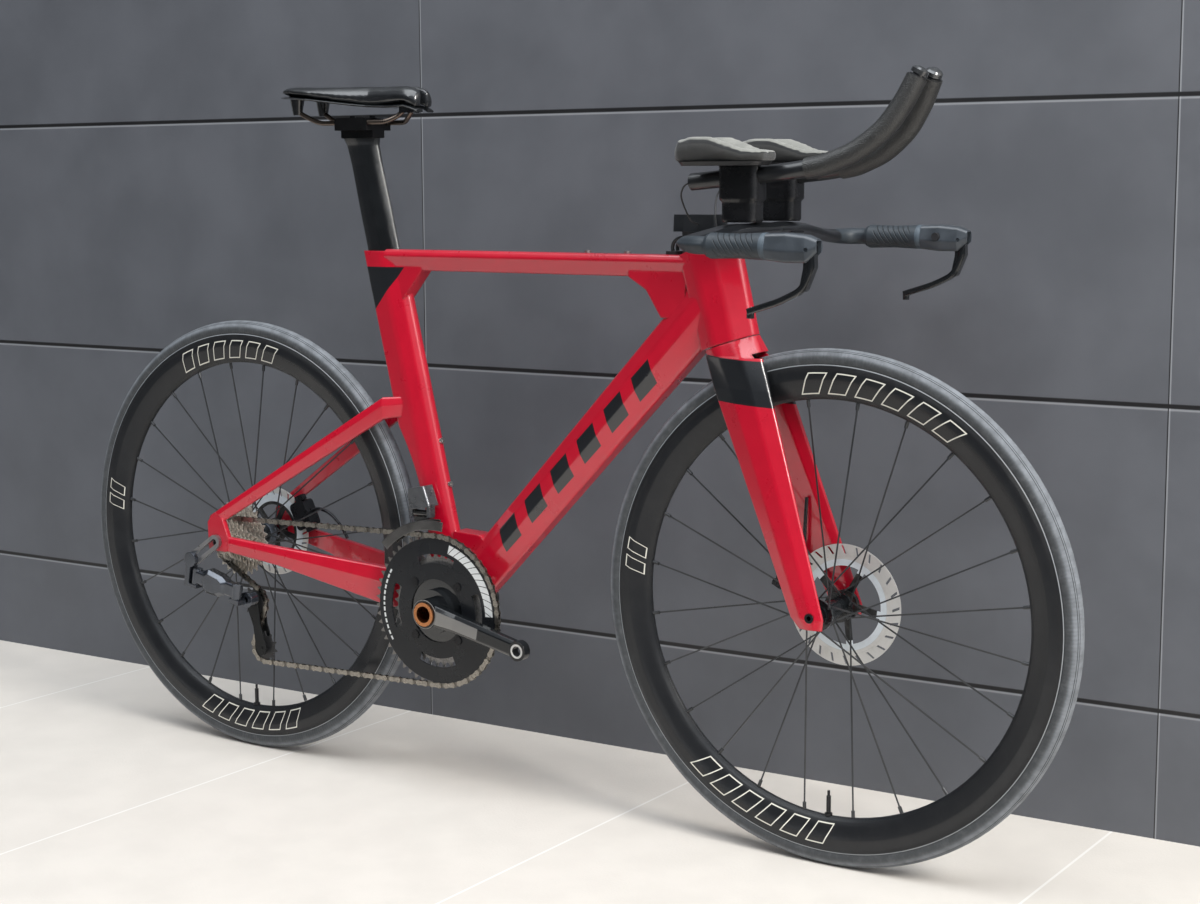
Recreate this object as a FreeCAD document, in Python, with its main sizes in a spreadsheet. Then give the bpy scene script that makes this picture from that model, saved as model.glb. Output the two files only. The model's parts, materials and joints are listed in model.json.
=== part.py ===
"""Time trial bike as a parametric assembly.

Frame of the part: +X points forward, +Y to the rider's left, +Z up. The origin lies on the
ground, midway between the axles, in the middle plane. The drive side is at -Y. Millimetres.
"""
import FreeCAD, Part
import math
import os

import Sketcher
from FreeCAD import Placement, Rotation, Vector

doc = FreeCAD.newDocument("TimeTrialBike")

# Driving dimensions
SIZES = {
    # Stance
    "wheelbase": 1012.0,
    "tyre_radius": 336.0,
    "head_angle": 72.5,
    "fork_offset": 45.0,
    "crown_height": 365.4,
    "head_tube_length": 129.0,
    "split_gap": 1.0,
    "bottom_bracket_drop": 64.0,
    "chainstay_reach": 404.0,
    "seat_angle": 76.8,
    "top_tube_height": 786.0,
    # Clearances
    "running_gap": 0.3,
    "fit_gap": 0.1,
    # Wheels
    "tyre_width": 27.0,
    "tyre_wall": 3.0,
    "rim_radius": 316.5,
    "rim_depth": 45.0,
    "rim_width": 29.0,
    "rim_seat_width": 25.6,
    "rim_tip_width": 13.0,
    "rim_wall": 2.5,
    "spoke_width": 2.0,
    "spoke_thickness": 1.0,
    "nipple_radius": 2.4,
    "nipple_length": 9.0,
    "valve_radius": 3.0,
    "valve_length": 26.0,
    "axle_radius": 6.0,
    "axle_bore": 3.0,
    "front_dropout_gap": 100.0,
    "rear_dropout_gap": 142.0,
    "front_hub_radius": 13.0,
    "front_flange_radius": 20.0,
    "front_flange_right": 33.0,
    "front_flange_left": 22.0,
    "rear_hub_radius": 15.0,
    "rear_flange_radius": 23.0,
    "rear_flange_right": 17.5,
    "rear_flange_left": 31.0,
    "flange_thickness": 4.0,
    "hub_cap_radius": 9.5,
    "front_rotor_radius": 80.0,
    "rear_rotor_radius": 70.0,
    "rotor_band": 15.0,
    "rotor_thickness": 1.8,
    "rotor_fin_band": 13.0,
    "rotor_hub_radius": 20.0,
    "rotor_hub_length": 7.0,
    "front_rotor_side": 39.0,
    "rear_rotor_side": 52.0,
    # Frame
    "bottom_bracket_width": 86.5,
    "bottom_bracket_shell_radius": 24.0,
    "bottom_bracket_bore_radius": 20.5,
    "spindle_radius": 15.0,
    "down_tube_depth_low": 62.0,
    "down_tube_depth_high": 73.0,
    "down_tube_width": 48.0,
    "top_tube_depth": 30.0,
    "top_tube_width_front": 40.0,
    "top_tube_width_rear": 33.0,
    "head_corner_x": 208.0,
    "head_knee_x": 236.0,
    "head_knee_z": 739.0,
    "head_ridge_x": 259.0,
    "head_ridge_z": 703.0,
    "seat_tube_chord": 64.0,
    "seat_tube_width": 34.0,
    "seat_tube_wheel_gap": 33.0,
    "head_width_low": 56.0,
    "head_width_high": 46.0,
    "head_nose_low": 46.0,
    "head_nose_high": 57.0,
    "head_tail_low": 32.0,
    "head_tail_high": 30.0,
    "steerer_radius": 14.3,
    "upper_bearing_radius": 19.5,
    "lower_bearing_radius": 23.0,
    "bearing_height": 7.0,
    "chainstay_height_front": 58.0,
    "chainstay_height_rear": 24.0,
    "chainstay_width_front": 15.0,
    "stay_width_rear": 8.0,
    "seatstay_depth": 28.0,
    "seatstay_junction_height": 560.0,
    "dropout_depth": 8.0,
    "tyre_room": 6.0,
    # Fork
    "leg_chord_top": 84.0,
    "leg_chord_bottom": 46.0,
    "leg_thickness_top": 17.0,
    "leg_thickness_bottom": 10.0,
    "leg_tail_below_axle": 15.0,
    "crown_width": 70.0,
    # Bosses and seat post
    "boss_radius": 2.5,
    "boss_spacing": 64.0,
    "seat_boss_height": 449.0,
    "top_boss_front": 197.0,
    "seat_post_chord": 56.0,
    "seat_post_width": 21.0,
    "seat_post_setback": -2.0,
    "seat_post_insert": 120.0,
    "seat_post_straight": 60.0,
    "seat_post_reach": 159.0,
    "clamp_length": 60.0,
    "clamp_width": 54.0,
    "clamp_round": 6.0,
    "rail_lift": 22.0,
    "rail_radius": 3.5,
    "rail_gap": 44.0,
    "rail_run": 124.0,
    "saddle_lift": 20.0,
    "saddle_length": 233.0,
    "saddle_width": 132.0,
    "saddle_nose_width": 50.0,
    "saddle_behind_clamp": 116.0,
    "saddle_shell_depth": 5.0,
    "saddle_stack": 30.5,
    "saddle_dip": 3.0,
    "saddle_tail_depth": 11.0,
    "saddle_nose_depth": 25.0,
    "saddle_slot_width": 11.0,
    "saddle_slot_from": 0.66,
    "saddle_nose_drop": 9.0,
    "steerer_rise": 14.0,
    # Cockpit
    "bar_width": 420.0,
    "bar_rise": 27.0,
    "bar_ahead": 88.0,
    "bar_drop": 15.0,
    "bar_sweep": 46.0,
    "bar_radius": 11.0,
    "wing_chord": 60.0,
    "wing_height": 15.0,
    "stem_tail": 26.0,
    "stem_nose": 59.0,
    "stem_width": 42.0,
    "cover_length": 69.0,
    "cover_width": 38.0,
    "cover_height": 22.0,
    "cover_behind": 38.0,
    "grip_length": 82.0,
    "grip_radius": 15.5,
    "hood_length": 64.0,
    "hood_button_radius": 5.0,
    "button_travel": 1.2,
    "pin_radius": 2.5,
    "lever_width": 11.0,
    "lever_thickness": 8.0,
    "lever_eye_radius": 7.5,
    "lever_drop": 46.0,
    "lever_reach": 80.0,
    "riser_gap": 100.0,
    "riser_chord": 50.0,
    "riser_width": 32.0,
    "riser_height": 29.0,
    "clamp_drop": 28.0,
    "extension_slope": 5.0,
    "extension_behind": 74.0,
    "extension_radius": 11.0,
    "extension_grip_radius": 13.2,
    "extension_tip_gap": 42.0,
    "extension_tip_reach": 155.0,
    "extension_tip_rise": 112.0,
    "tip_button_radius": 7.5,
    "cradle_lift": 2.5,
    "cradle_depth": 5.0,
    "pad_length": 126.0,
    "pad_width": 66.0,
    "pad_height": 36.0,
    "pad_gap": 156.0,
    "pad_behind": 9.0,
    "wire_radius": 1.1,
    "hose_radius": 2.4,
    # Brakes
    "front_caliper_reach": 83.0,
    "rear_caliper_reach": 72.0,
    "caliper_length": 44.0,
    "caliper_depth": 30.0,
    "caliper_width": 23.0,
    "pad_gap_to_rotor": 0.6,
    "brake_pad_depth": 3.0,
    # Drivetrain
    "chain_pitch": 12.7,
    "chain_line": 46.0,
    "chain_inner_width": 2.2,
    "roller_radius": 3.85,
    "link_plate_thickness": 0.75,
    "link_plate_radius": 4.1,
    "tooth_height": 2.6,
    "tooth_land": 1.6,
    "outer_ring_teeth": 54,
    "inner_ring_teeth": 40,
    "driven_cog_teeth": 17,
    "pulley_teeth": 11,
    "ring_thickness": 2.0,
    "ring_gap": 7.5,
    "ring_bore": 46.0,
    "ring_bolt_circle": 110.0,
    "ring_bolt_radius": 4.2,
    "ring_window_radius": 76.0,
    "ring_window_depth": 13.0,
    "crank_length": 172.5,
    "crank_angle": -10.0,
    "arm_root": 57.0,
    "arm_boss_depth": 18.0,
    "arm_boss_radius": 21.0,
    "arm_tip_depth": 13.0,
    "arm_splay": 10.0,
    "pedal_eye_radius": 14.0,
    "pedal_thread_radius": 7.14,
    "spindle_bore": 12.0,
    "cup_depth": 10.0,
    "cup_flange": 2.6,
    "cog_thickness": 1.6,
    "cog_pitch": 3.74,
    "freehub_radius": 16.9,
    "guide_ahead": 48.0,
    "guide_drop": 92.0,
    "cage_length": 71.0,
    "cage_swing": 10.0,
    "cage_gap": 13.0,
    "cage_plate": 1.8,
    "cage_boss": 3.0,
    "cage_axle_radius": 4.0,
    "pulley_thickness": 1.8,
    "hanger_behind": 44.0,
    "hanger_drop": 28.0,
    "hanger_width": 21.0,
    "hanger_slot": 9.0,
    "hanger_depth": 6.0,
    "knuckle_drop": 26.5,
    "knuckle_radius": 12.0,
    "arm_end_lift": 15.0,
    "arm_barrel": 24.0,
    "arm_body_depth": 15.0,
    "arm_swell": 7.0,
    "arm_inboard": 4.0,
    "fd_pivot_inboard": 12.0,
    "fd_pivot_height": 137.0,
    "fd_barrel": 26.0,
    "fd_barrel_radius": 5.0,
    "fd_cage_low": 118.0,
    "fd_cage_tall": 14.0,
    "fd_plate": 1.4,
    "fd_gap": 11.0,
}

sheet = doc.addObject("Spreadsheet::Sheet", "Sizes")
for row, (alias, value) in enumerate(SIZES.items(), start=1):
    sheet.set(f"A{row}", alias)
    sheet.set(f"B{row}", str(value))
    sheet.setAlias(f"B{row}", alias)
doc.recompute()


class Size:
    """A length or angle that knows both its number and the sheet expression that gives it."""

    def __init__(self, value, text):
        self.value = float(value)
        self.text = text

    def __add__(self, other):
        other = as_size(other)
        return Size(self.value + other.value, f"({self.text} + {other.text})")

    def __sub__(self, other):
        other = as_size(other)
        return Size(self.value - other.value, f"({self.text} - {other.text})")

    def __mul__(self, other):
        other = as_size(other)
        return Size(self.value * other.value, f"{self.text} * {other.text}")

    def __truediv__(self, other):
        other = as_size(other)
        return Size(self.value / other.value, f"{self.text} / {other.text}")

    def __radd__(self, other):
        return as_size(other) + self

    def __rsub__(self, other):
        return as_size(other) - self

    def __rmul__(self, other):
        return as_size(other) * self

    def __neg__(self):
        return Size(-self.value, f"(-1 * {self.text})")

    def __float__(self):
        return self.value


def as_size(number):
    """A plain number as a Size."""
    return number if isinstance(number, Size) else Size(number, f"({float(number):.6g})")


def root(square):
    """Square root of a Size."""
    return Size(math.sqrt(square.value), f"sqrt({square.text})")


def get(alias):
    """The Size held in the sheet's cell of that name."""
    return Size(sheet.get(alias), f"Sizes.{alias}")


def num(alias):
    """The plain number held in the sheet's cell of that name."""
    return float(sheet.get(alias))


# Helpers that make document objects
def bind(item, name, size):
    """Set a property from a Size and tie it to the sheet."""
    item.setExpression(name, as_size(size).text)


def place(item, base=(0, 0, 0), rotation=None):
    """Turn an object and tie its base point to the sheet."""
    sizes = [as_size(value) for value in base]
    item.Placement = Placement(Vector(*[size.value for size in sizes]), rotation or Rotation())
    for name, size in zip("xyz", sizes):
        bind(item, f"Placement.Base.{name}", size)
    return item


def along(direction):
    """The turn that takes +Z to a direction."""
    return Rotation(Vector(0, 0, 1), Vector(*direction))


LEFTWARD = along((0, 1, 0))
AXIAL = Rotation(Vector(0, 0, 1), 90)
UPRIGHT = Rotation(Vector(1, 0, 0), 90)


def rod(name, radius, length, base, rotation=None):
    """A cylinder from its base point along the turned Z axis."""
    item = doc.addObject("Part::Cylinder", name)
    bind(item, "Radius", radius)
    bind(item, "Height", length)
    return place(item, base, rotation)


def block(name, lengths, base, rotation=None):
    """A box from its lowest corner."""
    item = doc.addObject("Part::Box", name)
    for side, size in zip(("Length", "Width", "Height"), lengths):
        bind(item, side, size)
    return place(item, base, rotation)


def feature(name, shape):
    """A free-form piece whose shape is worked out from the sheet's sizes."""
    item = doc.addObject("Part::Feature", name)
    item.Shape = shape
    return item


def fuse(name, items):
    """One solid out of several."""
    item = doc.addObject("Part::MultiFuse", name)
    item.Shapes = items
    return item


def cut(name, base, tools):
    """A solid with the tools taken away."""
    tool = tools[0] if len(tools) == 1 else fuse(name + "_tools", tools)
    item = doc.addObject("Part::Cut", name)
    item.Base = base
    item.Tool = tool
    return item


def group(name, items):
    """Separate solids kept in one named piece."""
    item = doc.addObject("Part::Compound", name)
    item.Links = items
    return item


def body_plane(body, role):
    """One of the body's own origin planes."""
    return next(plane for plane in body.Origin.OriginFeatures if plane.Role == role)


def draw(body, name, loops, role="XY_Plane"):
    """A sketch of closed loops. A corner is (x, y), or (x, y, radius, bulge) to start an arc there.

    Bulge is the arc's middle point, which only says on which side the arc runs.
    """
    sketch = body.newObject("Sketcher::SketchObject", name)
    sketch.AttachmentSupport = [(body_plane(body, role), "")]
    sketch.MapMode = "FlatFace"
    for loop in loops:
        first = sketch.GeometryCount
        corners = [(as_size(corner[0]), as_size(corner[1])) + tuple(corner[2:]) for corner in loop]
        spots = [Vector(corner[0].value, corner[1].value, 0) for corner in corners]
        for index, corner in enumerate(corners):
            start, end = spots[index], spots[(index + 1) % len(spots)]
            if len(corner) == 2:
                sketch.addGeometry(Part.LineSegment(start, end), False)
            else:
                middle = Vector(float(corner[3][0]), float(corner[3][1]), 0)
                sketch.addGeometry(Part.Arc(start, middle, end), False)
        for index, corner in enumerate(corners):
            geometry = first + index
            following = first + (index + 1) % len(corners)
            ends = arc_ends(sketch, geometry, spots[index])
            next_ends = arc_ends(sketch, following, spots[(index + 1) % len(spots)])
            sketch.addConstraint(Sketcher.Constraint("Coincident", geometry, ends[1], following,
                    next_ends[0]))
            for kind, size in (("DistanceX", corner[0]), ("DistanceY", corner[1])):
                number = sketch.addConstraint(Sketcher.Constraint(kind, geometry, ends[0], size.value))
                sketch.setExpression(f"Constraints[{number}]", size.text)
            if len(corner) > 2:
                radius = as_size(corner[2])
                number = sketch.addConstraint(Sketcher.Constraint("Radius", geometry, radius.value))
                sketch.setExpression(f"Constraints[{number}]", radius.text)
    return sketch


def arc_ends(sketch, geometry, start):
    """Which of an edge's two end numbers lies at its start, and which at its end."""
    return (1, 2) if sketch.getPoint(geometry, 1).isEqual(start, 1e-6) else (2, 1)


def turned(name, loops, base, rotation=AXIAL):
    """A body turned about its own X axis: corners are (along the axis, radius)."""
    body = doc.addObject("PartDesign::Body", name)
    sketch = draw(body, name + "_profile", loops)
    turn = body.newObject("PartDesign::Revolution", name + "_turn")
    turn.Profile = sketch
    turn.ReferenceAxis = (sketch, ["H_Axis"])
    turn.Angle = 360
    return place(body, base, rotation)


def plate(name, loops, thickness, base, rotation=UPRIGHT):
    """A body padded from loops. Upright, its corners are (x, z) and it grows towards -Y."""
    body = doc.addObject("PartDesign::Body", name)
    sketch = draw(body, name + "_outline", loops)
    pad = body.newObject("PartDesign::Pad", name + "_pad")
    pad.Profile = sketch
    bind(pad, "Length", thickness)
    return place(body, base, rotation)


# Free-form shapes
def rounded(points, radii, spot):
    """A closed wire through points, each corner rounded. spot turns (a, b) into a place in space."""
    count = len(points)
    flat = [Vector(a, b, 0) for a, b in points]
    trims = []
    for index in range(count):
        here, before, after = flat[index], flat[index - 1], flat[(index + 1) % count]
        back, ahead = before - here, after - here
        room = 0.45 * min(back.Length, ahead.Length)
        half = back.getAngle(ahead) / 2
        trim = min(radii[index] / math.tan(half), room)
        back.normalize()
        ahead.normalize()
        radius = trim * math.tan(half)
        inward = (back + ahead).normalize()
        middle = here + inward * (radius / math.sin(half) - radius)
        trims.append((here + back * trim, middle, here + ahead * trim))
    edges = []
    for index in range(count):
        arc = [spot(point.x, point.y) for point in trims[index]]
        edges.append(Part.Arc(*arc).toShape())
        following = trims[(index + 1) % count][0]
        edges.append(Part.LineSegment(arc[2], spot(following.x, following.y)).toShape())
    return Part.Wire(edges)


def loft(wires, ruled=True):
    """A closed solid through wires."""
    return Part.makeLoft(wires, True, ruled)


def mirrored(shape):
    """The same shape on the other side of the middle plane."""
    return shape.mirror(Vector(0, 0, 0), Vector(0, 1, 0))


def bent_path(points, share=0.45):
    """A wire of straight runs joined by tangent arcs, as large as their runs allow."""
    spots = [Vector(*point) for point in points]
    edges = []
    start = spots[0]
    for before, here, after in zip(spots, spots[1:], spots[2:]):
        back, ahead = before - here, after - here
        trim = share * min(back.Length, ahead.Length)
        half = back.getAngle(ahead) / 2
        radius = trim * math.tan(half)
        back.normalize()
        ahead.normalize()
        inward = (back + ahead).normalize()
        middle = here + inward * (radius / math.sin(half) - radius)
        edges.append(Part.LineSegment(start, here + back * trim).toShape())
        edges.append(Part.Arc(here + back * trim, middle, here + ahead * trim).toShape())
        start = here + ahead * trim
    edges.append(Part.LineSegment(start, spots[-1]).toShape())
    return Part.Wire(edges)


def tube(points, radius, share=0.45):
    """A round bar along a bent path."""
    path = bent_path(points, share)
    heading = Vector(*points[1]) - Vector(*points[0])
    ring = Part.Wire(Part.Circle(Vector(*points[0]), heading, radius).toShape())
    return path.makePipeShell([ring], True, False)


# Main places, from the stance
axle_height = get("tyre_radius")
front_axle_x = get("wheelbase") / 2
rear_axle_x = -get("wheelbase") / 2
bracket_x = rear_axle_x + get("chainstay_reach")
bracket_z = axle_height - get("bottom_bracket_drop")
front_axle = Vector(front_axle_x.value, 0, axle_height.value)
rear_axle = Vector(rear_axle_x.value, 0, axle_height.value)
bracket = Vector(bracket_x.value, 0, bracket_z.value)

head_angle = math.radians(num("head_angle"))
steer_up = Vector(-math.cos(head_angle), 0, math.sin(head_angle))
steer_ahead = Vector(math.sin(head_angle), 0, math.cos(head_angle))
steer_foot = front_axle - steer_ahead * num("fork_offset")
crown_height = num("crown_height")
head_top = crown_height + num("head_tube_length")


def steer(height, ahead=0.0, left=0.0):
    """A place given along the steering axis, ahead of it and to its left."""
    return steer_foot + steer_up * height + steer_ahead * ahead + Vector(0, left, 0)


def seat_line(height):
    """X of the seat tube's middle at a height above the ground."""
    return bracket.x - (height - bracket.z) / math.tan(math.radians(num("seat_angle")))


# Frame: head tube, main tubes, stays and dropouts, then its bores and slots
def head_section(height, tail, nose, width):
    """Head tube outline square to the steering axis: a blunt tail and a rounded nose."""
    half = width / 2
    points = [(-tail, -0.7 * half), (-0.2 * tail, -half), (0.45 * nose, -0.86 * half),
              (nose, -0.28 * half),
              (nose, 0.28 * half), (0.45 * nose, 0.86 * half), (-0.2 * tail, half), (-tail, 0.7 * half)]
    radii = [6, 30, 22, 9, 9, 22, 30, 6]
    return rounded(points, radii, lambda a, b: steer(height, a, b))


def head_tube():
    low = head_section(crown_height + num("split_gap") / 2, num("head_tail_low"), num("head_nose_low"),
                       num("head_width_low"))
    high = head_section(head_top, num("head_tail_high"), num("head_nose_high"), num("head_width_high"))
    return loft([low, high])


down_foot = bracket
down_top = steer(crown_height + num("head_tube_length") / 2 - 2.5)
down_ahead = (down_top - down_foot).normalize()
down_up = Vector(-down_ahead.z, 0, down_ahead.x)


def down_section(distance, depth, width):
    """Six-sided down tube outline with a crease along its side, square to the tube."""
    half = width / 2
    foot = down_foot + down_ahead * distance
    points = [(-0.58 * half, -depth / 2), (0.58 * half, -depth / 2), (half, -0.06 * depth),
              (0.92 * half, 0.2 * depth),
              (0.45 * half, depth / 2), (-0.45 * half, depth / 2), (-0.92 * half, 0.2 * depth),
              (-half, -0.06 * depth)]
    radii = [7, 7, 5, 12, 8, 8, 12, 5]
    return rounded(points, radii, lambda a, b: foot + Vector(0, a, 0) + down_up * b)


def down_tube():
    span = (down_top - down_foot).Length
    low = down_section(0, num("down_tube_depth_low"), num("down_tube_width"))
    high = down_section(span, num("down_tube_depth_high"), num("down_tube_width"))
    return loft([low, high])


def top_tube():
    depth = num("top_tube_depth")
    middle = num("top_tube_height") - depth / 2

    def ring(x, width):
        half = width / 2
        points = [(-0.62 * half, -depth / 2), (0.62 * half, -depth / 2), (half, 0.22 * depth),
                  (0.8 * half, depth / 2),
                  (-0.8 * half, depth / 2), (-half, 0.22 * depth)]
        radii = [4, 4, 5, 6, 6, 5]
        return rounded(points, radii, lambda a, b: Vector(x, a, middle + b))

    rear = seat_line(num("top_tube_height")) + 10
    front = steer(head_top - num("top_tube_depth")).x - 8
    return loft([ring(rear, num("top_tube_width_rear")), ring(front, num("top_tube_width_front"))])


def seat_section(height, chord, width):
    """Seat tube outline, level: a flat tail and a rounded nose."""
    half = width / 2
    x = seat_line(height)
    points = [(-chord / 2, -0.84 * half), (0.02 * chord, -half), (0.36 * chord, -0.72 * half),
              (chord / 2, -0.3 * half),
              (chord / 2, 0.3 * half), (0.36 * chord, 0.72 * half), (0.02 * chord, half),
              (-chord / 2, 0.84 * half)]
    radii = [4, 40, 14, 8, 8, 14, 40, 4]
    return rounded(points, radii, lambda a, b: Vector(x + a, b, height))


def seat_tube():
    top = num("top_tube_height") - 2.5
    chord, width = num("seat_tube_chord"), num("seat_tube_width")
    return loft([seat_section(bracket.z - 6, chord, width), seat_section(top, chord, width)])


def web(points, radii, half):
    """A flat web in the middle plane with rounded corners."""
    face = Part.Face(rounded(points, radii, lambda a, b: Vector(a, -half, b)))
    return face.extrude(Vector(0, 2 * half, 0))


def seat_cluster():
    """The slanted corner between the seat tube's front and the top tube's underside."""
    under = num("top_tube_height") - num("top_tube_depth")
    front = seat_line(under) + num("seat_tube_chord") / 2
    points = [(front - 20, under + 6), (front + 36, under + 6), (front + 36, under),
              (front + 3, under - 40),
              (front - 14, under - 40)]
    return web(points, [1, 1, 4, 4, 1], 0.36 * num("seat_tube_width"))


def head_cluster():
    """The faceted corner between the top tube's underside and the down tube."""
    under = num("top_tube_height") - num("top_tube_depth")
    rear, knee_x, knee_z = num("head_corner_x"), num("head_knee_x"), num("head_knee_z")
    ridge_x, ridge_z = num("head_ridge_x"), num("head_ridge_z")
    points = [(rear, under + 8), (rear, under), (knee_x, knee_z), (ridge_x, ridge_z),
              (ridge_x + 34, ridge_z),
              (ridge_x + 40, under + 8)]
    return web(points, [1, 3, 6, 1, 1, 1], 0.38 * num("top_tube_width_front"))


def bracket_web():
    """The fill between the feet of the down tube and the seat tube."""
    lift = num("bottom_bracket_shell_radius") + 88
    front = bracket.x + 66
    points = [(bracket.x - 10, bracket.z), (bracket.x + 20, bracket.z), (front, bracket.z + lift - 2),
              (bracket.x + 8, bracket.z + lift)]
    return web(points, [1, 1, 10, 1], 0.42 * num("seat_tube_width"))


stay_inner_rear = num("rear_dropout_gap") / 2
stay_middle_rear = stay_inner_rear + num("stay_width_rear") / 2
tyre_side = num("tyre_width") / 2 + num("tyre_room")


def stay_ring(x, side, low, high, width):
    """Stay outline in a plane across the bike: five-sided, with a crease on the outer face."""
    half = width / 2
    tall = high - low
    points = [(-half, low), (0.45 * half, low), (half, low + 0.62 * tall), (0.7 * half, high),
              (-half, high)]
    radii = [2, 3, 3, 3, 2]
    return rounded(points, radii, lambda a, b: Vector(x, -(side + a), b))


def right_chainstay():
    front_z = bracket.z + 21
    rear_z = rear_axle.z
    tall_front, tall_rear = num("chainstay_height_front"), num("chainstay_height_rear")
    width = num("chainstay_width_front")
    start_x = bracket.x - 6
    yoke_x = rear_axle.x + num("tyre_radius") + 2 * num("tyre_room")
    rings = [stay_ring(start_x, tyre_side + width / 2 - 3, front_z - tall_front / 2 - 6,
                       front_z + tall_front / 2 - 10, width),
             stay_ring(yoke_x - 50, tyre_side + width / 2, front_z - tall_front / 2,
                       front_z + tall_front / 2, width),
             stay_ring(rear_axle.x + 110, stay_middle_rear - 14, rear_z - 26, rear_z + 3,
                       0.5 * (width + num("stay_width_rear"))),
             stay_ring(rear_axle.x + 18, stay_middle_rear, rear_z - tall_rear / 2, rear_z + tall_rear / 2,
                       num("stay_width_rear"))]
    return loft(rings)


def right_seatstay():
    depth = num("seatstay_depth")
    top = num("seatstay_junction_height")
    inner_x = seat_line(top) - 4
    wide = num("stay_width_rear") + 3
    bend_x = seat_line(top) - num("seat_tube_chord") / 2 - 10
    rear_z = rear_axle.z + 40
    rings = [stay_ring(inner_x, 0.3 * tyre_side, top - depth / 2, top + depth / 2, wide),
             stay_ring(bend_x, tyre_side + wide / 2, top - depth / 2 - 6, top + depth / 2 - 2, wide),
             stay_ring(rear_axle.x + 8, stay_middle_rear, rear_z - depth / 2 + 5, rear_z + depth / 2,
                       num("stay_width_rear")),
             stay_ring(rear_axle.x - 12, stay_middle_rear, rear_z - depth / 2 - 8,
                       rear_z + depth / 2 - 12,
                       num("stay_width_rear"))]
    return loft(rings)


def right_dropout():
    """The plate that joins both stays round the rear axle."""
    x, z = rear_axle.x, rear_axle.z
    points = [(x - 15, z - 11), (x + 22, z - 12), (x + 26, z + 10), (x + 14, z + 40), (x - 2, z + 48),
              (x - 16, z + 32)]
    face = Part.Face(rounded(points, [5, 3, 3, 3, 4, 5], lambda a, b: Vector(a, -stay_inner_rear, b)))
    return face.extrude(Vector(0, -num("dropout_depth"), 0))


def frame_piece():
    stays = [right_chainstay(), right_seatstay(), right_dropout()]
    tubes = [head_tube(), down_tube(), top_tube(), seat_tube(), seat_cluster(), head_cluster(),
             bracket_web()]
    tubes += stays + [mirrored(stay) for stay in stays]
    parts = [feature(f"frame_tube_{index}", shape) for index, shape in enumerate(tubes)]
    half_width = get("bottom_bracket_width") / 2
    parts.append(rod("frame_shell", get("bottom_bracket_shell_radius"), get("bottom_bracket_width"),
                     (bracket_x, -half_width, bracket_z), LEFTWARD))
    whole = fuse("frame_blank", parts)
    low = steer(crown_height - 30)
    seat = num("bearing_height") + num("fit_gap")
    low_seat = 30 + num("split_gap") / 2 + seat + num("fit_gap")
    tools = [
        rod("frame_bracket_bore", get("bottom_bracket_bore_radius"), get("bottom_bracket_width") + 20,
            (bracket_x, -half_width - 10, bracket_z), LEFTWARD),
        rod("frame_wheel_room", get("tyre_radius") + get("seat_tube_wheel_gap"), 2 * tyre_side,
            (rear_axle_x, -tyre_side, axle_height), LEFTWARD),
        rod("frame_axle_bore", get("axle_radius") + get("fit_gap"), get("rear_dropout_gap") + 40,
            (rear_axle_x, -get("rear_dropout_gap") / 2 - 20, axle_height), LEFTWARD),
        rod("frame_steerer_bore", get("steerer_radius") + get("running_gap") * 4,
            get("head_tube_length") + 80, low,
            along(steer_up)),
        rod("frame_lower_seat", get("lower_bearing_radius") + get("fit_gap"), low_seat, low,
            along(steer_up)),
        rod("frame_upper_seat", get("upper_bearing_radius") + get("fit_gap"), 40, steer(head_top - seat),
            along(steer_up)),
        feature("frame_post_slot", seat_post_shape(num("fit_gap"), num("seat_post_insert") + 90)),
    ]
    for index, (x, z) in enumerate(seat_boss_spots() + top_boss_spots()):
        direction = boss_heading(index)
        tools.append(rod(f"frame_boss_{index}", get("boss_radius") + get("fit_gap"), 14,
                         Vector(x, 0, z) - direction * 12, along(direction)))
    return cut("frame", whole, tools)


def seat_boss_spots():
    """Threaded bosses on the seat tube's front, a bottle cage's spacing apart."""
    gap = num("boss_spacing") * math.sin(math.radians(num("seat_angle")))
    low = num("seat_boss_height")
    return [(seat_line(z) + num("seat_tube_chord") / 2, z) for z in (low, low + gap)]


def top_boss_spots():
    """Threaded bosses on the top tube, behind the head."""
    front = num("top_boss_front")
    return [(front - num("boss_spacing"), num("top_tube_height")), (front, num("top_tube_height"))]


def boss_heading(index):
    """Outward direction of a boss: the first two on the seat tube, the others on the top tube."""
    lean = math.radians(num("seat_angle"))
    return Vector(math.sin(lean), 0, math.cos(lean)) if index < 2 else Vector(0, 0, 1)


def boss_bolts():
    """Button-head bolts that close the threaded bosses."""
    bolts = []
    for index, (x, z) in enumerate(seat_boss_spots() + top_boss_spots()):
        direction = boss_heading(index)
        spot = Vector(x, 0, z)
        shank = rod(f"boss_shank_{index}", get("boss_radius"), 10.2, spot - direction * 10,
                    along(direction))
        head = rod(f"boss_head_{index}", get("boss_radius") * 1.7, 3, spot + direction * 0.15,
                   along(direction))
        socket = rod(f"boss_socket_{index}", get("boss_radius") * 0.7, 3, spot + direction * 1.4,
                     along(direction))
        bolts.append(cut(f"boss_bolt_{index}", fuse(f"boss_blank_{index}", [shank, head]), [socket]))
    return group("boss_bolts", bolts)


# Seat post and saddle
def seat_post_axis(height):
    """Middle of the post at a height above the ground."""
    return Vector(seat_line(height) + num("seat_post_setback"), 0, height)


def seat_post_section(height, chord, width, grow):
    """Post outline, level: a drop with a blunt tail."""
    half, length = width / 2 + grow, chord / 2 + grow
    middle = seat_post_axis(height)
    points = [(-length, -0.55 * half), (0, -half), (0.7 * length, -0.62 * half), (length, -0.25 * half),
              (length, 0.25 * half), (0.7 * length, 0.62 * half), (0, half), (-length, 0.55 * half)]
    radii = [3, 30, 10, 3.5, 3.5, 10, 30, 3]
    return rounded(points, radii, lambda a, b: middle + Vector(a, b, 0))


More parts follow.
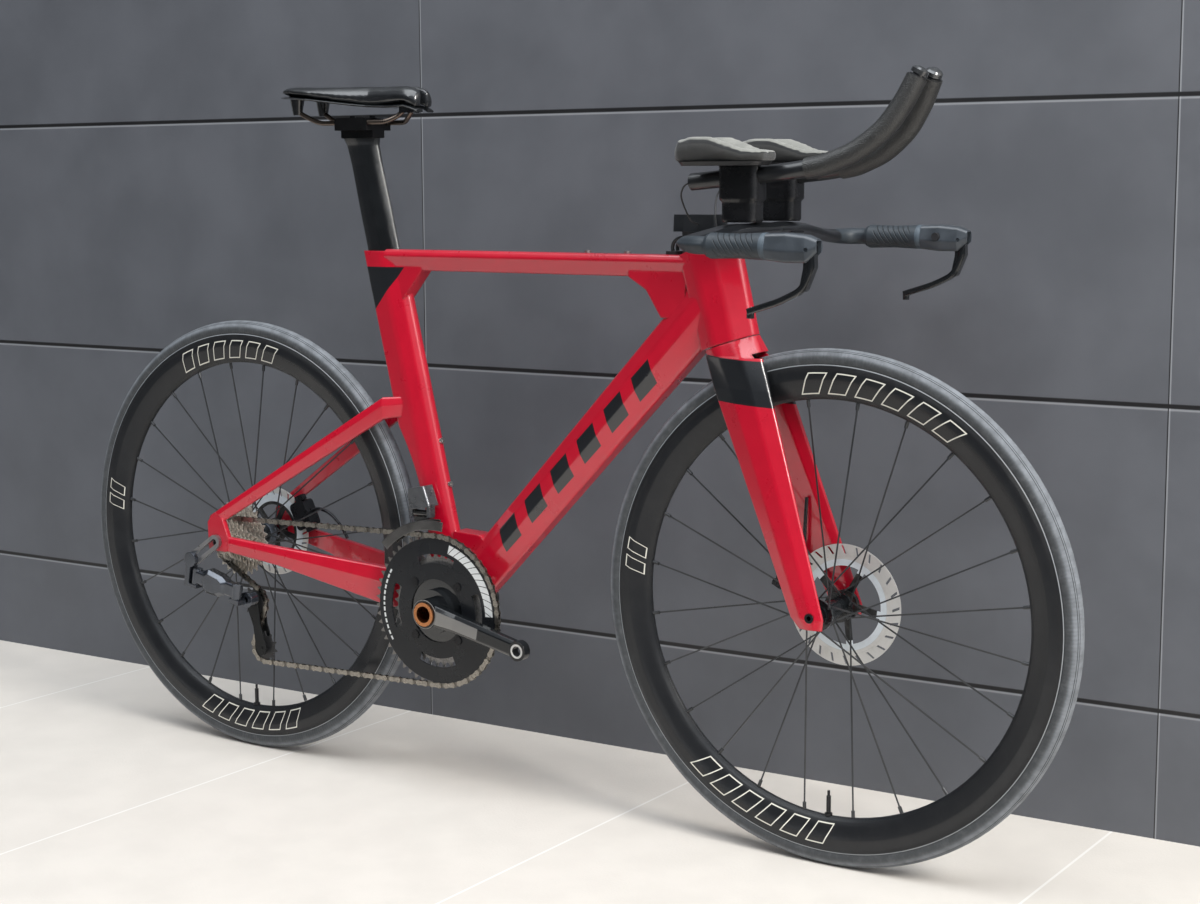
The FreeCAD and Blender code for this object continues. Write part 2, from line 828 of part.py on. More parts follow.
def seat_post_shape(grow=0.0, insert=None, top=None):
    """The post's straight run: constant in the frame, so that it slides."""
    foot = num("top_tube_height") - (num("seat_post_insert") if insert is None else insert)
    head = num("top_tube_height") + num("seat_post_straight") if top is None else top
    chord, width = num("seat_post_chord"), num("seat_post_width")
    return loft([seat_post_section(foot, chord, width, grow),
                 seat_post_section(head, chord, width, grow)])


post_head_top = num("top_tube_height") + num("seat_post_reach")


def seat_post():
    """The post tapers above its straight run and flares into the clamp's seat."""
    straight_top = num("top_tube_height") + num("seat_post_straight")
    chord, width = num("seat_post_chord"), num("seat_post_width")
    neck = post_head_top - 40
    rings = [seat_post_section(straight_top, chord, width, 0),
             seat_post_section(neck, 0.96 * chord, width, 0),
             seat_post_section(post_head_top - 10, 0.98 * chord, 1.2 * width, 0),
             seat_post_section(post_head_top, num("clamp_length"), num("clamp_width") * 0.6, 0)]
    parts = [feature("post_run", seat_post_shape()), feature("post_taper", loft(rings))]
    return fuse("seat_post", parts)


clamp_x = seat_post_axis(post_head_top).x
rail_z = post_head_top + num("rail_lift")


def clamp_outline(y):
    """Rounded side view of the clamp, at a distance from the bike's middle."""
    half = num("clamp_length") / 2
    low = post_head_top + num("fit_gap")
    top = low + num("rail_lift") + num("rail_radius") * 2
    corners = [(clamp_x - half, low), (clamp_x + half, low), (clamp_x + half, top), (clamp_x - half, top)]
    round_foot, round_top = num("clamp_round") / 3, num("clamp_round")
    return rounded(corners, [round_foot, round_foot, round_top, round_top], lambda a, b: Vector(a, y, b))


def saddle_clamp():
    """Two cradles round the rails, held by two bolts."""
    length, width = get("clamp_length"), get("clamp_width")
    high = get("rail_lift") + get("rail_radius") * 2
    ends = [clamp_outline(side * num("clamp_width") / 2) for side in (-1, 1)]
    blank = feature("clamp_blank", loft(ends))
    waist = [block(f"clamp_waist_{side}", (length + 2, width, get("rail_lift") * 0.55),
                   (clamp_x - length / 2 - 1, side * width / 2 - width / 2 + side * width * 0.24,
                    post_head_top - 1)) for side in (-1, 1)]
    grooves = [rod(f"clamp_groove_{side}", get("rail_radius") + get("fit_gap"), length + 4,
                   (clamp_x - length / 2 - 2, side * get("rail_gap") / 2, rail_z),
                   along((1, 0, 0))) for side in (-1, 1)]
    bolts = [rod(f"clamp_bolt_{side}", get("boss_radius") * 1.8, 3, (clamp_x + side * length * 0.32, 0,
                 post_head_top + get("fit_gap") + high), Rotation()) for side in (-1, 1)]
    return fuse("saddle_clamp", [cut("clamp_body", blank, waist + grooves)] + bolts)


def rail_points(side):
    """One rail from the nose socket, along its straight clamped run, to the tail socket."""
    half = num("rail_gap") / 2
    front, rear = clamp_x + num("rail_run") / 2, clamp_x - num("rail_run") / 2
    up = num("saddle_lift") - 2
    return [(front + 26, side * 9, rail_z + up), (front + 15, side * 12, rail_z + 0.45 * up),
            (front, side * half, rail_z),
            (rear, side * half, rail_z), (rear - 22, side * (half + 3), rail_z + 0.5 * up),
            (rear - 38, side * (half + 6), rail_z + up)]


def saddle_rails():
    bars = [feature(f"saddle_rail_{side}", tube(rail_points(side), num("rail_radius"))) for side in (-1,
            1)]
    return group("saddle_rails", bars)


saddle_tail_x = clamp_x - num("saddle_behind_clamp")
shell_low = rail_z + num("saddle_lift") - 2 + num("rail_radius") + num("fit_gap")


def saddle_ring(share, half, low, high):
    """Saddle outline across the bike at a share of its length from the tail."""
    x = saddle_tail_x + share * num("saddle_length")
    tall = high - low
    points = [(-0.9 * half, low), (0.9 * half, low), (half, low + 0.4 * tall),
              (0.72 * half, high - 0.1 * tall),
              (0.3 * half, high), (-0.3 * half, high), (-0.72 * half, high - 0.1 * tall),
              (-half, low + 0.4 * tall)]
    radii = [2, 2, 3, 8, 14, 14, 8, 3]
    return rounded(points, radii, lambda a, b: Vector(x, a, b))


def saddle_half(share):
    """Half width of the saddle: broad at the tail, slim at the nose."""
    wide, slim = num("saddle_width") / 2, num("saddle_nose_width") / 2
    if share < 0.12:
        return wide * (0.72 + 0.28 * share / 0.12)
    fade = min(max((share - 0.2) / 0.5, 0), 1)
    blend = fade * fade * (3 - 2 * fade)
    tip = 0.8 if share > 0.98 else 1.0
    return tip * (wide + (slim - wide) * blend)


SADDLE_SHARES = (0.0, 0.05, 0.14, 0.26, 0.38, 0.5, 0.62, 0.76, 0.9, 0.965, 1.0)


def saddle_top(share):
    """Height of the saddle's top: nearly flat, with a nose that turns down."""
    dip = num("saddle_dip") * math.sin(math.pi * share)
    nose = max(share - 0.88, 0) / 0.12
    return shell_low + num("saddle_stack") - dip - num("saddle_nose_drop") * nose * nose


def saddle_foot(share):
    """Height of the padding's underside: close under the top at the tail, deep at the nose."""
    fade = min(max((share - 0.1) / 0.7, 0), 1)
    blend = fade * fade * (3 - 2 * fade)
    thin, thick = num("saddle_tail_depth"), num("saddle_nose_depth")
    return saddle_top(share) - thin - (thick - thin) * blend


def shell_top(share):
    """Height of the shell's upper face, just under the padding."""
    return saddle_foot(share) - num("running_gap")


def saddle_shell():
    deep = num("saddle_shell_depth")
    rings = [saddle_ring(share, saddle_half(share) * 0.985, shell_top(share) - deep, shell_top(share))
             for share in SADDLE_SHARES]
    sockets = [feature(f"saddle_socket_{index}", socket) for index, socket in enumerate(rail_sockets())]
    bores = [feature(f"saddle_socket_bore_{side}",
                     tube(rail_points(side), num("rail_radius") + num("fit_gap")))
             for side in (-1, 1)]
    skin = cut("saddle_shell_skin", feature("saddle_shell_whole", loft(rings)), nose_slot("shell_slot"))
    return cut("saddle_shell", fuse("saddle_shell_blank", [skin] + sockets), bores)


def rail_sockets():
    """Moulded ends under the shell that hold the rails: a block at the nose and two bosses at the tail."""
    sockets = []
    reach = num("rail_radius") + 2
    for spots in ((rail_points(1)[0], rail_points(-1)[0]), (rail_points(1)[-1],), (rail_points(-1)[-1],)):
        x = spots[0][0]
        low_y, high_y = min(spot[1] for spot in spots) - reach, max(spot[1] for spot in spots) + reach
        low = spots[0][2] - reach
        share = (x - saddle_tail_x) / num("saddle_length")
        high = shell_top(share) - num("saddle_shell_depth") * 0.6
        if len(spots) == 1:
            sockets.append(Part.makeCone(reach + 1, 2 * reach, high - low, Vector(x, spots[0][1], low)))
        else:
            sockets.append(Part.makeBox(14, high_y - low_y, high - low, Vector(x - 7, low_y, low)))
    return sockets


def nose_slot(name):
    """The gap that splits the saddle's nose, with a round end."""
    width, start = num("saddle_slot_width"), saddle_tail_x + num("saddle_slot_from") * num("saddle_length")
    low, high = shell_low - num("saddle_stack"), shell_low + 2 * num("saddle_stack")
    long = num("saddle_length")
    gap = block(name + "_gap", (long, width, high - low), (start, -width / 2, low))
    end = rod(name + "_end", width / 2, high - low, (start, 0, low), Rotation())
    return [gap, end]


def saddle_pad():
    """The padding: crowned, drawn in along its sides, and hanging a little over the nose."""
    rings = [saddle_ring(share, saddle_half(share), saddle_foot(share), saddle_top(share))
             for share in SADDLE_SHARES]
    return cut("saddle_pad", feature("saddle_pad_whole", loft(rings)), nose_slot("pad_slot"))


# Fork: crown, blades and steerer, with room for the tyre
leg_foot = front_axle - Vector(0, 0, num("leg_tail_below_axle"))


def leg_ring(share, side_inner, thickness, chord):
    """Blade outline at a share of the way from the crown to the foot, level."""
    crown = steer(crown_height - 20, 15)
    middle = crown + (leg_foot - crown) * share
    points = [(-chord / 2, 0.25 * thickness), (chord * 0.28, 0), (chord / 2, 0.3 * thickness),
              (chord / 2, 0.62 * thickness),
              (chord * 0.2, thickness), (-chord * 0.16, 0.98 * thickness), (-chord / 2, 0.6 * thickness)]
    radii = [2, 10, 4, 5, 24, 20, 2]
    return rounded(points, radii, lambda a, b: Vector(middle.x + a, -(side_inner + b), middle.z))


def right_leg():
    inner_low = num("front_dropout_gap") / 2
    outer_high = num("crown_width") / 2
    top, low = num("leg_thickness_top"), num("leg_thickness_bottom")
    chord_top, chord_low = num("leg_chord_top"), num("leg_chord_bottom")
    rings = [leg_ring(0, 2, outer_high - 2, chord_top),
             leg_ring(0.12, outer_high + 1 - top, top, chord_top - 2),
             leg_ring(0.96, inner_low, low, chord_low), leg_ring(1.0, inner_low, low, 0.7 * chord_low)]
    return loft(rings)


def crown():
    """Joins the blades under the head tube; its rear is drawn close to the steering axis."""
    high = head_section(crown_height - num("split_gap") / 2, num("head_tail_low") * 0.8,
                        num("head_nose_low"),
                        num("head_width_low"))
    middle = steer(crown_height - 34, 14)
    half, reach = num("crown_width") / 2, num("leg_chord_top") / 2
    points = [(-reach * 0.95, -0.6 * half), (-0.3 * reach, -half), (0.5 * reach, -half),
              (reach, -0.45 * half),
              (reach, 0.45 * half), (0.5 * reach, half), (-0.3 * reach, half),
              (-reach * 0.95, 0.6 * half)]
    low = rounded(points, [8, 30, 22, 10, 10, 22, 30, 8], lambda a, b: middle + Vector(a, b, 0))
    return loft([high, low])


def fork_piece():
    legs = right_leg()
    parts = [feature("fork_leg_right", legs), feature("fork_leg_left", mirrored(legs)),
             feature("fork_crown", crown()),
             rod("fork_steerer", get("steerer_radius"),
                 head_top - crown_height + num("steerer_rise") + 30,
                 steer(crown_height - 30), along(steer_up)),
             rod("fork_race", get("lower_bearing_radius") - 2, get("split_gap") + get("fit_gap") / 2,
                 steer(crown_height - num("split_gap") / 2), along(steer_up))]
    gap = get("front_dropout_gap")
    tools = [rod("fork_tyre_room", get("tyre_radius") + get("tyre_room"), 2 * tyre_side,
                 (front_axle_x, -tyre_side, axle_height), LEFTWARD),
             rod("fork_axle_bore", get("axle_radius") + get("fit_gap"), gap + 60,
                 (front_axle_x, -gap / 2 - 30, axle_height),
                 LEFTWARD),
             rod("fork_hub_room", get("hub_cap_radius") + 3, gap, (front_axle_x, -gap / 2, axle_height),
                 LEFTWARD)]
    return cut("fork", fuse("fork_blank", parts), tools)


def headset_bearings():
    """Two sealed bearings between the frame and the steerer, as separate rings."""
    height = get("bearing_height")
    inner = get("steerer_radius") + get("fit_gap")
    rings = []
    for name, radius, base in (("lower", get("lower_bearing_radius"),
                                steer(crown_height + num("split_gap") / 2 + num("fit_gap"))),
                               ("upper", get("upper_bearing_radius"),
                                steer(head_top - num("bearing_height")))):
        loop = [(0, inner), (height, inner), (height, radius), (0, radius)]
        rings.append(turned(f"headset_{name}_bearing", [loop], base, Rotation(Vector(1, 0, 0), steer_up)))
    return rings


# Wheels
def tyre(name, axle_x):
    """An open tyre: a round crown with its two beads on the rim."""
    half = get("tyre_width") / 2
    centre = get("tyre_radius") - half
    foot = get("rim_radius") + get("fit_gap")
    spread = root(half * half - (foot - centre) * (foot - centre))
    inner = half - get("tyre_wall")
    inner_spread = root(inner * inner - (foot - centre) * (foot - centre))
    loop = [(-spread, foot, half, (0, num("tyre_radius"))), (spread, foot), (inner_spread, foot, inner,
            (0, num("tyre_radius") - num("tyre_wall"))), (-inner_spread, foot)]
    return turned(name, [loop], (axle_x, 0, axle_height))


def rim(name, axle_x):
    """A deep hollow rim: flat seat, swelling sides and a narrow inner edge."""
    def loop(inset):
        seat = get("rim_seat_width") / 2 - inset
        wide = get("rim_width") / 2 - inset
        tip = get("rim_tip_width") / 2 - inset
        outer, inner = get("rim_radius") - inset, get("rim_radius") - get("rim_depth") + inset
        belly = get("rim_radius") - get("rim_depth") * 0.42
        edge = inner + get("rim_tip_width") * 0.3
        return [(-seat, outer), (seat, outer), (wide, belly), (tip, edge), (tip * 0.45, inner),
                (-tip * 0.45, inner),
                (-tip, edge), (-wide, belly)]
    return turned(name, [loop(0), loop(get("rim_wall"))], (axle_x, 0, axle_height))


def spokes(name, axle_x, flange_radius, flange_left, flange_right):
    """Flat spokes crossed in pairs from both flanges to the rim, each with its nipple."""
    count, crossing = 12, math.radians(52)
    rim_reach = num("rim_radius") - num("rim_depth") - num("fit_gap")
    wide, thin = num("spoke_width"), num("spoke_thickness")
    centre = Vector(axle_x.value, 0, num("tyre_radius"))
    bars = []
    for flange, turn in ((flange_left, 0.0), (-flange_right, math.pi / count)):
        for index in range(count):
            lean = 1 if index % 2 else -1
            rim_angle = 2 * math.pi * index / count + turn + math.pi / 2 / count
            hub_angle = rim_angle + lean * crossing
            side = flange + lean * (num("flange_thickness") / 2 + 1.1 * thin)
            start = centre + Vector(math.cos(hub_angle) * flange_radius * 0.88, side,
                                    math.sin(hub_angle) * flange_radius * 0.88)
            end = centre + Vector(math.cos(rim_angle) * rim_reach, 0, math.sin(rim_angle) * rim_reach)
            run = end - start
            turn_to = Rotation(Vector(0, 0, 0), Vector(0, 1, 0), run, "ZYX")
            long = run.Length - 0.2 * num("nipple_radius")
            bar = Part.makeBox(wide, thin, long, Vector(-wide / 2, -thin / 2, 0))
            stub = Part.makeCylinder(num("nipple_radius"), num("nipple_length"),
                                     Vector(0, 0, long - num("nipple_length")))
            spoke = bar.fuse(stub)
            spoke.Placement = Placement(start, turn_to)
            bars.append(spoke)
    return feature(name, Part.makeCompound(bars))


def hub(name, axle_x, gap, body_radius, flange_radius, flange_left, flange_right, ends):
    """A hub shell with two flanges and end caps, bored for its axle."""
    bore = get("axle_radius") + get("fit_gap")
    cap = get("hub_cap_radius")
    thick = get("flange_thickness") / 2
    left_end, right_end = gap / 2 - get("fit_gap"), -gap / 2 + get("fit_gap") + ends
    loop = [(right_end, bore), (left_end, bore), (left_end, cap), (flange_left + thick + 3, cap),
            (flange_left + thick + 3, body_radius), (flange_left + thick, body_radius),
            (flange_left + thick, flange_radius),
            (flange_left - thick, flange_radius), (flange_left - thick, body_radius),
            (-flange_right + thick, body_radius),
            (-flange_right + thick, flange_radius), (-flange_right - thick, flange_radius),
            (-flange_right - thick, body_radius),
            (-flange_right - thick - 3, body_radius), (-flange_right - thick - 3, cap), (right_end, cap)]
    return turned(name, [loop], (axle_x, 0, axle_height))


def rotor(name, axle_x, radius, side):
    """A brake rotor: a slotted steel band on a finned carrier with its centre ring."""
    thin = get("rotor_thickness")
    band, fins = get("rotor_band"), get("rotor_fin_band")
    inner = radius - band
    centre = (axle_x, side + thin / 2, axle_height)
    ring = doc.addObject("PartDesign::Body", name + "_band")
    sketch = ring.newObject("Sketcher::SketchObject", name + "_band_outline")
    sketch.AttachmentSupport = [(body_plane(ring, "XY_Plane"), "")]
    sketch.MapMode = "FlatFace"
    for size in (radius, inner):
        number = sketch.addGeometry(Part.Circle(Vector(0, 0, 0), Vector(0, 0, 1), size.value), False)
        sketch.addConstraint(Sketcher.Constraint("Coincident", number, 3, -1, 1))
        held = sketch.addConstraint(Sketcher.Constraint("Radius", number, size.value))
        sketch.setExpression(f"Constraints[{held}]", size.text)
    pad = ring.newObject("PartDesign::Pad", name + "_band_pad")
    pad.Profile = sketch
    bind(pad, "Length", thin)
    low, high = inner + band * 0.16, inner + band * 0.88
    slot = draw(ring, name + "_slot", [[(low, -2.4), (high, 2.6), (high, 6.2), (low, 1.2)]])
    pocket = ring.newObject("PartDesign::Pocket", name + "_slot_cut")
    pocket.Profile = slot
    pocket.Type = "ThroughAll"
    pocket.Midplane = True
    pattern = ring.newObject("PartDesign::PolarPattern", name + "_slots")
    pattern.Originals = [pocket]
    pattern.Axis = (sketch, ["N_Axis"])
    pattern.Angle = 360
    pattern.Occurrences = 24
    ring.Tip = pattern
    place(ring, centre, UPRIGHT)
    arm_root = get("rotor_hub_radius")
    carrier_outer = inner - get("fit_gap")
    ring_in = carrier_outer - fins
    hub_ring = turned(name + "_hub_ring",
                      [[(0, get("hub_cap_radius") + 5),
                        (get("rotor_hub_length"), get("hub_cap_radius") + 5),
                      (get("rotor_hub_length"), arm_root), (0, arm_root)]],
                      (axle_x, side - get("rotor_hub_length") / 2, axle_height))
    fin_ring = turned(name + "_fin_ring",
                      [[(0, ring_in), (thin, ring_in), (thin, carrier_outer), (0, carrier_outer)]],
                      (axle_x, side - thin / 2, axle_height))
    arms = []
    reach = ring_in.value + 2
    for index in range(5):
        arm = Part.makeBox(reach - arm_root.value + 4, thin.value, 9,
                           Vector(arm_root.value - 3, -thin.value / 2, -2))
        arm.rotate(Vector(0, 0, 0), Vector(0, 1, 0), 72 * index + 12)
        arm.translate(Vector(axle_x.value, float(side), num("tyre_radius")))
        arms.append(feature(f"{name}_arm_{index}", arm))
    return group(name, [ring, fuse(name + "_carrier", [hub_ring, fin_ring] + arms)])


def valve(name, axle_x):
    """The valve stands on the rim's inner edge at the bottom of the wheel."""
    top = axle_height - get("rim_radius") + get("rim_depth") + get("fit_gap")
    stem = rod(name + "_stem", get("valve_radius"), get("valve_length"), (axle_x, 0, top), Rotation())
    tip = rod(name + "_tip", get("valve_radius") * 0.6, get("valve_length") + 7, (axle_x, 0, top),
              Rotation())
    nut = rod(name + "_nut", get("valve_radius") * 1.7, 3, (axle_x, 0, top), Rotation())
    return fuse(name, [stem, tip, nut])


def axle(name, axle_x, gap, side_room):
    """A hollow axle screwed through both dropouts, with a collar on the left."""
    half = gap / 2 + side_room
    bore = get("axle_bore")
    loop = [(-half, bore), (half + 2, bore), (half + 2, get("axle_radius") * 1.5),
            (half + 0.1, get("axle_radius") * 1.5),
            (half + 0.1, get("axle_radius")), (-half, get("axle_radius"))]
    return turned(name, [loop], (axle_x, 0, axle_height))


# Cockpit: one-piece stem and base bar, risers, extensions, pads and levers
stem_foot = steer(head_top)
bar_half = num("bar_width") / 2
bar_z = stem_foot.z + num("bar_rise")
bar_x = stem_foot.x + num("bar_ahead")
grip_z = bar_z - num("bar_drop")
grip_x = bar_x + num("bar_sweep")
hood_x = grip_x + num("grip_length") + num("fit_gap")
pivot_x = hood_x + num("hood_length") - 11
pivot_z = grip_z - 3


def wing_ring(middle, heading, depth, tall):
    """Bar outline square to its heading: depth is level, with the blunt edge ahead on the wing."""
    heading = Vector(*heading).normalize()
    ahead = Vector(-heading.y, heading.x, 0)
    points = [(-depth, 0.1 * tall), (-0.55 * depth, -0.8 * tall), (0.4 * depth, -tall),
              (depth, -0.42 * tall),
              (depth, 0.42 * tall), (0.4 * depth, tall), (-0.55 * depth, 0.9 * tall)]
    radii = [0.3 * tall, 1.4 * tall, tall, 0.7 * tall, 0.7 * tall, tall, 1.4 * tall]
    spot = Vector(*middle)
    return rounded(points, radii, lambda a, b: spot + ahead * a + Vector(0, 0, b))


def right_wing():
    deep, tall = num("wing_chord") / 2, num("wing_height") / 2
    neck = num("bar_radius")
    drop = num("bar_drop")
    rings = [wing_ring((bar_x, 0, bar_z), (0, -1, 0), deep, tall),
             wing_ring((bar_x, -0.3 * bar_half, bar_z - 0.04 * drop), (0, -1, 0), deep * 0.98, tall),
             wing_ring((bar_x - 2, -0.62 * bar_half, bar_z - 0.55 * drop), (0, -1, 0), deep * 0.86,
                       tall * 1.05),
             wing_ring((bar_x + 2, -0.84 * bar_half, bar_z - 0.92 * drop), (0.25, -1, 0), deep * 0.68,
                       neck * 0.85),
             wing_ring((bar_x + 17, -0.955 * bar_half, grip_z), (0.9, -0.9, 0), neck * 1.15, neck),
             wing_ring((grip_x - 1, -bar_half, grip_z), (1, 0, 0), neck * 1.02, neck * 1.02)]
    return loft(rings, ruled=False)


def base_bar():
    wing = right_wing()
    tail, nose, wide = num("stem_tail"), num("stem_nose"), num("stem_width") / 2
    stem_top = bar_z - 5

    def stem_ring(spot, rear, front, half):
        points = [(-rear, -0.55 * half), (-0.2 * rear, -half), (0.5 * front, -half), (front, -0.5 * half),
                  (front, 0.5 * half), (0.5 * front, half), (-0.2 * rear, half), (-rear, 0.55 * half)]
        return rounded(points, [6, 20, 16, 8, 8, 16, 20, 6], spot)

    low = stem_ring(lambda a, b: steer(head_top + num("split_gap"), a, b), tail, nose, wide)
    high = stem_ring(lambda a, b: Vector(stem_foot.x + a, b, stem_top), tail, num("bar_ahead"), wide)
    parts = [feature("bar_wing_right", wing), feature("bar_wing_left", mirrored(wing)),
             feature("bar_stem", loft([low, high]))]
    for side in (-1, 1):
        parts.append(rod(f"bar_end_{side}", get("bar_radius"), get("grip_length") + 4,
                         (grip_x - 4, side * bar_half, grip_z),
                         along((1, 0, 0))))
        parts.append(block(f"bar_seat_{side}", (get("riser_chord"), get("riser_width"),
                                                get("wing_height")),
                           (bar_x - get("riser_chord") / 2,
                            side * get("riser_gap") / 2 - get("riser_width") / 2, riser_foot -
                            num("wing_height"))))
    bore = rod("bar_steerer_bore", get("steerer_radius") + get("fit_gap"), get("steerer_rise") + 4,
               steer(head_top - 2), along(steer_up))
    return cut("base_bar", fuse("base_bar_blank", parts), [bore])


riser_foot = bar_z + num("wing_height") / 2 + 1


def stem_cover():
    """A small lidded box behind the bar, over the stem."""
    long, wide, tall = num("cover_length"), num("cover_width") / 2, num("cover_height")
    rear = stem_foot.x - num("cover_behind")
    low = bar_z - 5 + num("fit_gap")
    points = [(rear, -0.8 * wide), (rear + 0.3 * long, -wide), (rear + long, -0.9 * wide),
              (rear + long, 0.9 * wide),
              (rear + 0.3 * long, wide), (rear, 0.8 * wide)]
    radii = [6, 20, 4, 4, 20, 6]
    floor = rounded(points, radii, lambda a, b: Vector(a, b, low))
    lid = rounded(points, radii, lambda a, b: Vector(rear + (a - rear) * 0.94, b * 0.86, low + tall))
    return feature("stem_cover", loft([floor, lid]))


def bar_grips():
    """Rubber sleeves on the bar's ends."""
    grips = []
    inner = get("bar_radius") + get("fit_gap")
    long, fat = get("grip_length"), get("grip_radius")
    loop = [(0, inner), (long, inner), (long, fat), (long - 4, fat + 0.6), (long * 0.5, fat - 1),
            (5, fat), (0, fat - 2)]
    for side in (-1, 1):
        grips.append(turned(f"bar_grip_{side}", [loop], (grip_x, side * bar_half, grip_z), Rotation()))
    return group("bar_grips", grips)


def hood_ring(x, half, tall, lift, side):
    points = [(-0.75 * half, -tall), (0.75 * half, -tall), (half, -0.2 * tall), (0.7 * half, tall),
              (-0.7 * half, tall),
              (-half, -0.2 * tall)]
    return rounded(points, [4, 4, 6, 6, 6, 6], lambda a,
                   b: Vector(x, side * bar_half + a, grip_z + lift + b))


def lever_mounts():
    """Lever bodies plugged on the bar's ends, each with a slot, a pivot pin and a button pocket."""
    mounts = []
    for side in (-1, 1):
        fat = num("grip_radius")
        long = num("hood_length")
        rings = [hood_ring(hood_x, fat, fat, 0, side),
                 hood_ring(hood_x + 0.4 * long, fat * 0.95, fat * 1.12, -1, side),
                 hood_ring(hood_x + 0.8 * long, fat * 0.86, fat * 1.02, -2, side),
                 hood_ring(hood_x + long, fat * 0.6, fat * 0.5, 1.5, side)]
        blank = feature(f"hood_blank_{side}", loft(rings))
        gap = get("lever_width") + get("running_gap") * 2
        slot = block(f"hood_slot_{side}", (60, gap, 2 * fat),
                     (pivot_x - 17, side * bar_half - gap / 2, pivot_z - 2 * fat + 10))
        pin_room = rod(f"hood_pin_bore_{side}", get("pin_radius") + get("fit_gap"), 60,
                       (pivot_x, side * bar_half - 30, pivot_z),
                       LEFTWARD)
        pocket = rod(f"hood_pocket_{side}", get("hood_button_radius") + get("running_gap"), 30,
                     (hood_x + 0.36 * long, side * (bar_half - fat + 5), grip_z + 1),
                     along((0, -side, 0)))
        mounts.append(cut(f"lever_mount_{side}", blank, [slot, pin_room, pocket]))
        mounts.append(rod(f"lever_pin_{side}", get("pin_radius"), 2 * get("grip_radius") * 0.68,
                          (pivot_x, side * bar_half - num("grip_radius") * 0.68, pivot_z), LEFTWARD))
    return group("lever_mounts", mounts)


def hood_button(name, side):
    """A push button in the inner face of a lever mount."""
    fat = num("grip_radius")
    start = bar_half - fat + 5 - num("button_travel") - num("running_gap")
    return rod(name, get("hood_button_radius"), fat * 0.38,
               (hood_x + 0.36 * num("hood_length"), side * start, grip_z + 1),
               along((0, -side, 0)))


def brake_lever(name, side):
    """An eye on the pivot pin and a blade that drops, then sweeps back under the bar."""
    wide = num("lever_width")
    y = side * bar_half
    points = [(pivot_x + 2, y, pivot_z - 2), (pivot_x + 2, y, pivot_z - 22),
              (pivot_x - 9, y, pivot_z - num("lever_drop")),
              (pivot_x - 38, y, pivot_z - num("lever_drop") - 14),
              (pivot_x - num("lever_reach"), y, pivot_z - num("lever_drop") - 27)]
    heading = Vector(*points[1]) - Vector(*points[0])
    across = heading.cross(Vector(0, 1, 0)).normalize()
    half = num("lever_thickness") / 2
    outline = [(-wide / 2, -half), (wide / 2, -half), (wide / 2, half), (-wide / 2, half)]
    ring = rounded(outline, [2.4] * 4, lambda a, b: Vector(*points[0]) + Vector(0, a, 0) + across * b)
    blade = feature(name + "_blade", bent_path(points, 0.4).makePipeShell([ring], True, False))
    drop, slim = num("lever_drop"), wide / 2 - 1
    profile = [(pivot_x - 6, pivot_z), (pivot_x + 7, pivot_z), (pivot_x + 8, pivot_z - 20),
               (pivot_x - 4, pivot_z - drop - 2), (pivot_x - 13, pivot_z - drop - 4),
               (pivot_x - 7, pivot_z - 22)]
    web_face = rounded(profile, [2, 2, 6, 6, 2, 6], lambda a, b: Vector(a, y - slim, b))
    web = feature(name + "_web", Part.Face(web_face).extrude(Vector(0, 2 * slim, 0)))
    tip = rod(name + "_tip", get("lever_thickness") / 2 + 0.5, get("lever_thickness") + 3,
              (points[-1][0] + 2, y, points[-1][2] - num("lever_thickness")))
    eye = rod(name + "_eye", get("lever_eye_radius"), get("lever_width"),
              (pivot_x, y - get("lever_width") / 2, pivot_z), LEFTWARD)
    bore = rod(name + "_bore", get("pin_radius") + get("fit_gap"), get("lever_width") + 2,
               (pivot_x, y - get("lever_width") / 2 - 1, pivot_z), LEFTWARD)
    return cut(name, fuse(name + "_blank", [eye, blade, web, tip]), [bore])


# Extensions, their clamps and arm rests
extension_rise = math.tan(math.radians(num("extension_slope")))
extension_z = riser_foot + num("riser_height") + num("clamp_drop")


def extension_points(side):
    """Straight through the clamp, then bent up and in to the hand grip."""
    gap = num("riser_gap") / 2
    rear, front = bar_x - num("extension_behind"), bar_x + 68

    def on_line(x):
        return extension_z + (x - bar_x) * extension_rise

    tip_gap = num("extension_tip_gap") / 2
    turn = gap - tip_gap
    start = on_line(front)
    reach, rise = num("extension_tip_reach"), num("extension_tip_rise")
    return [(rear, side * gap, on_line(rear)), (front, side * gap, start),
            (front + 0.27 * reach, side * (gap - 0.13 * turn), start + 0.06 * rise),
            (front + 0.54 * reach, side * (gap - 0.35 * turn), start + 0.2 * rise),
            (front + 0.77 * reach, side * (gap - 0.61 * turn), start + 0.45 * rise),
            (front + 0.91 * reach, side * (gap - 0.82 * turn), start + 0.74 * rise),
            (front + reach, side * tip_gap, start + rise)]


def tip_heading(side):
    points = extension_points(side)
    return (Vector(*points[-1]) - Vector(*points[-2])).normalize()


def extension_bars():
    """Bent tubes, each bored at its tip for a push button."""
    bars = []
    for side in (-1, 1):
        points = extension_points(side)
        bar = feature(f"extension_run_{side}", tube(points, num("extension_radius")))
        heading = tip_heading(side)
        bore = rod(f"extension_bore_{side}", get("tip_button_radius") + get("running_gap"), 22,
                   Vector(*points[-1]) - heading * 18, along(heading))
        bars.append(cut(f"extension_bar_{side}", bar, [bore]))
    return group("extension_bars", bars)


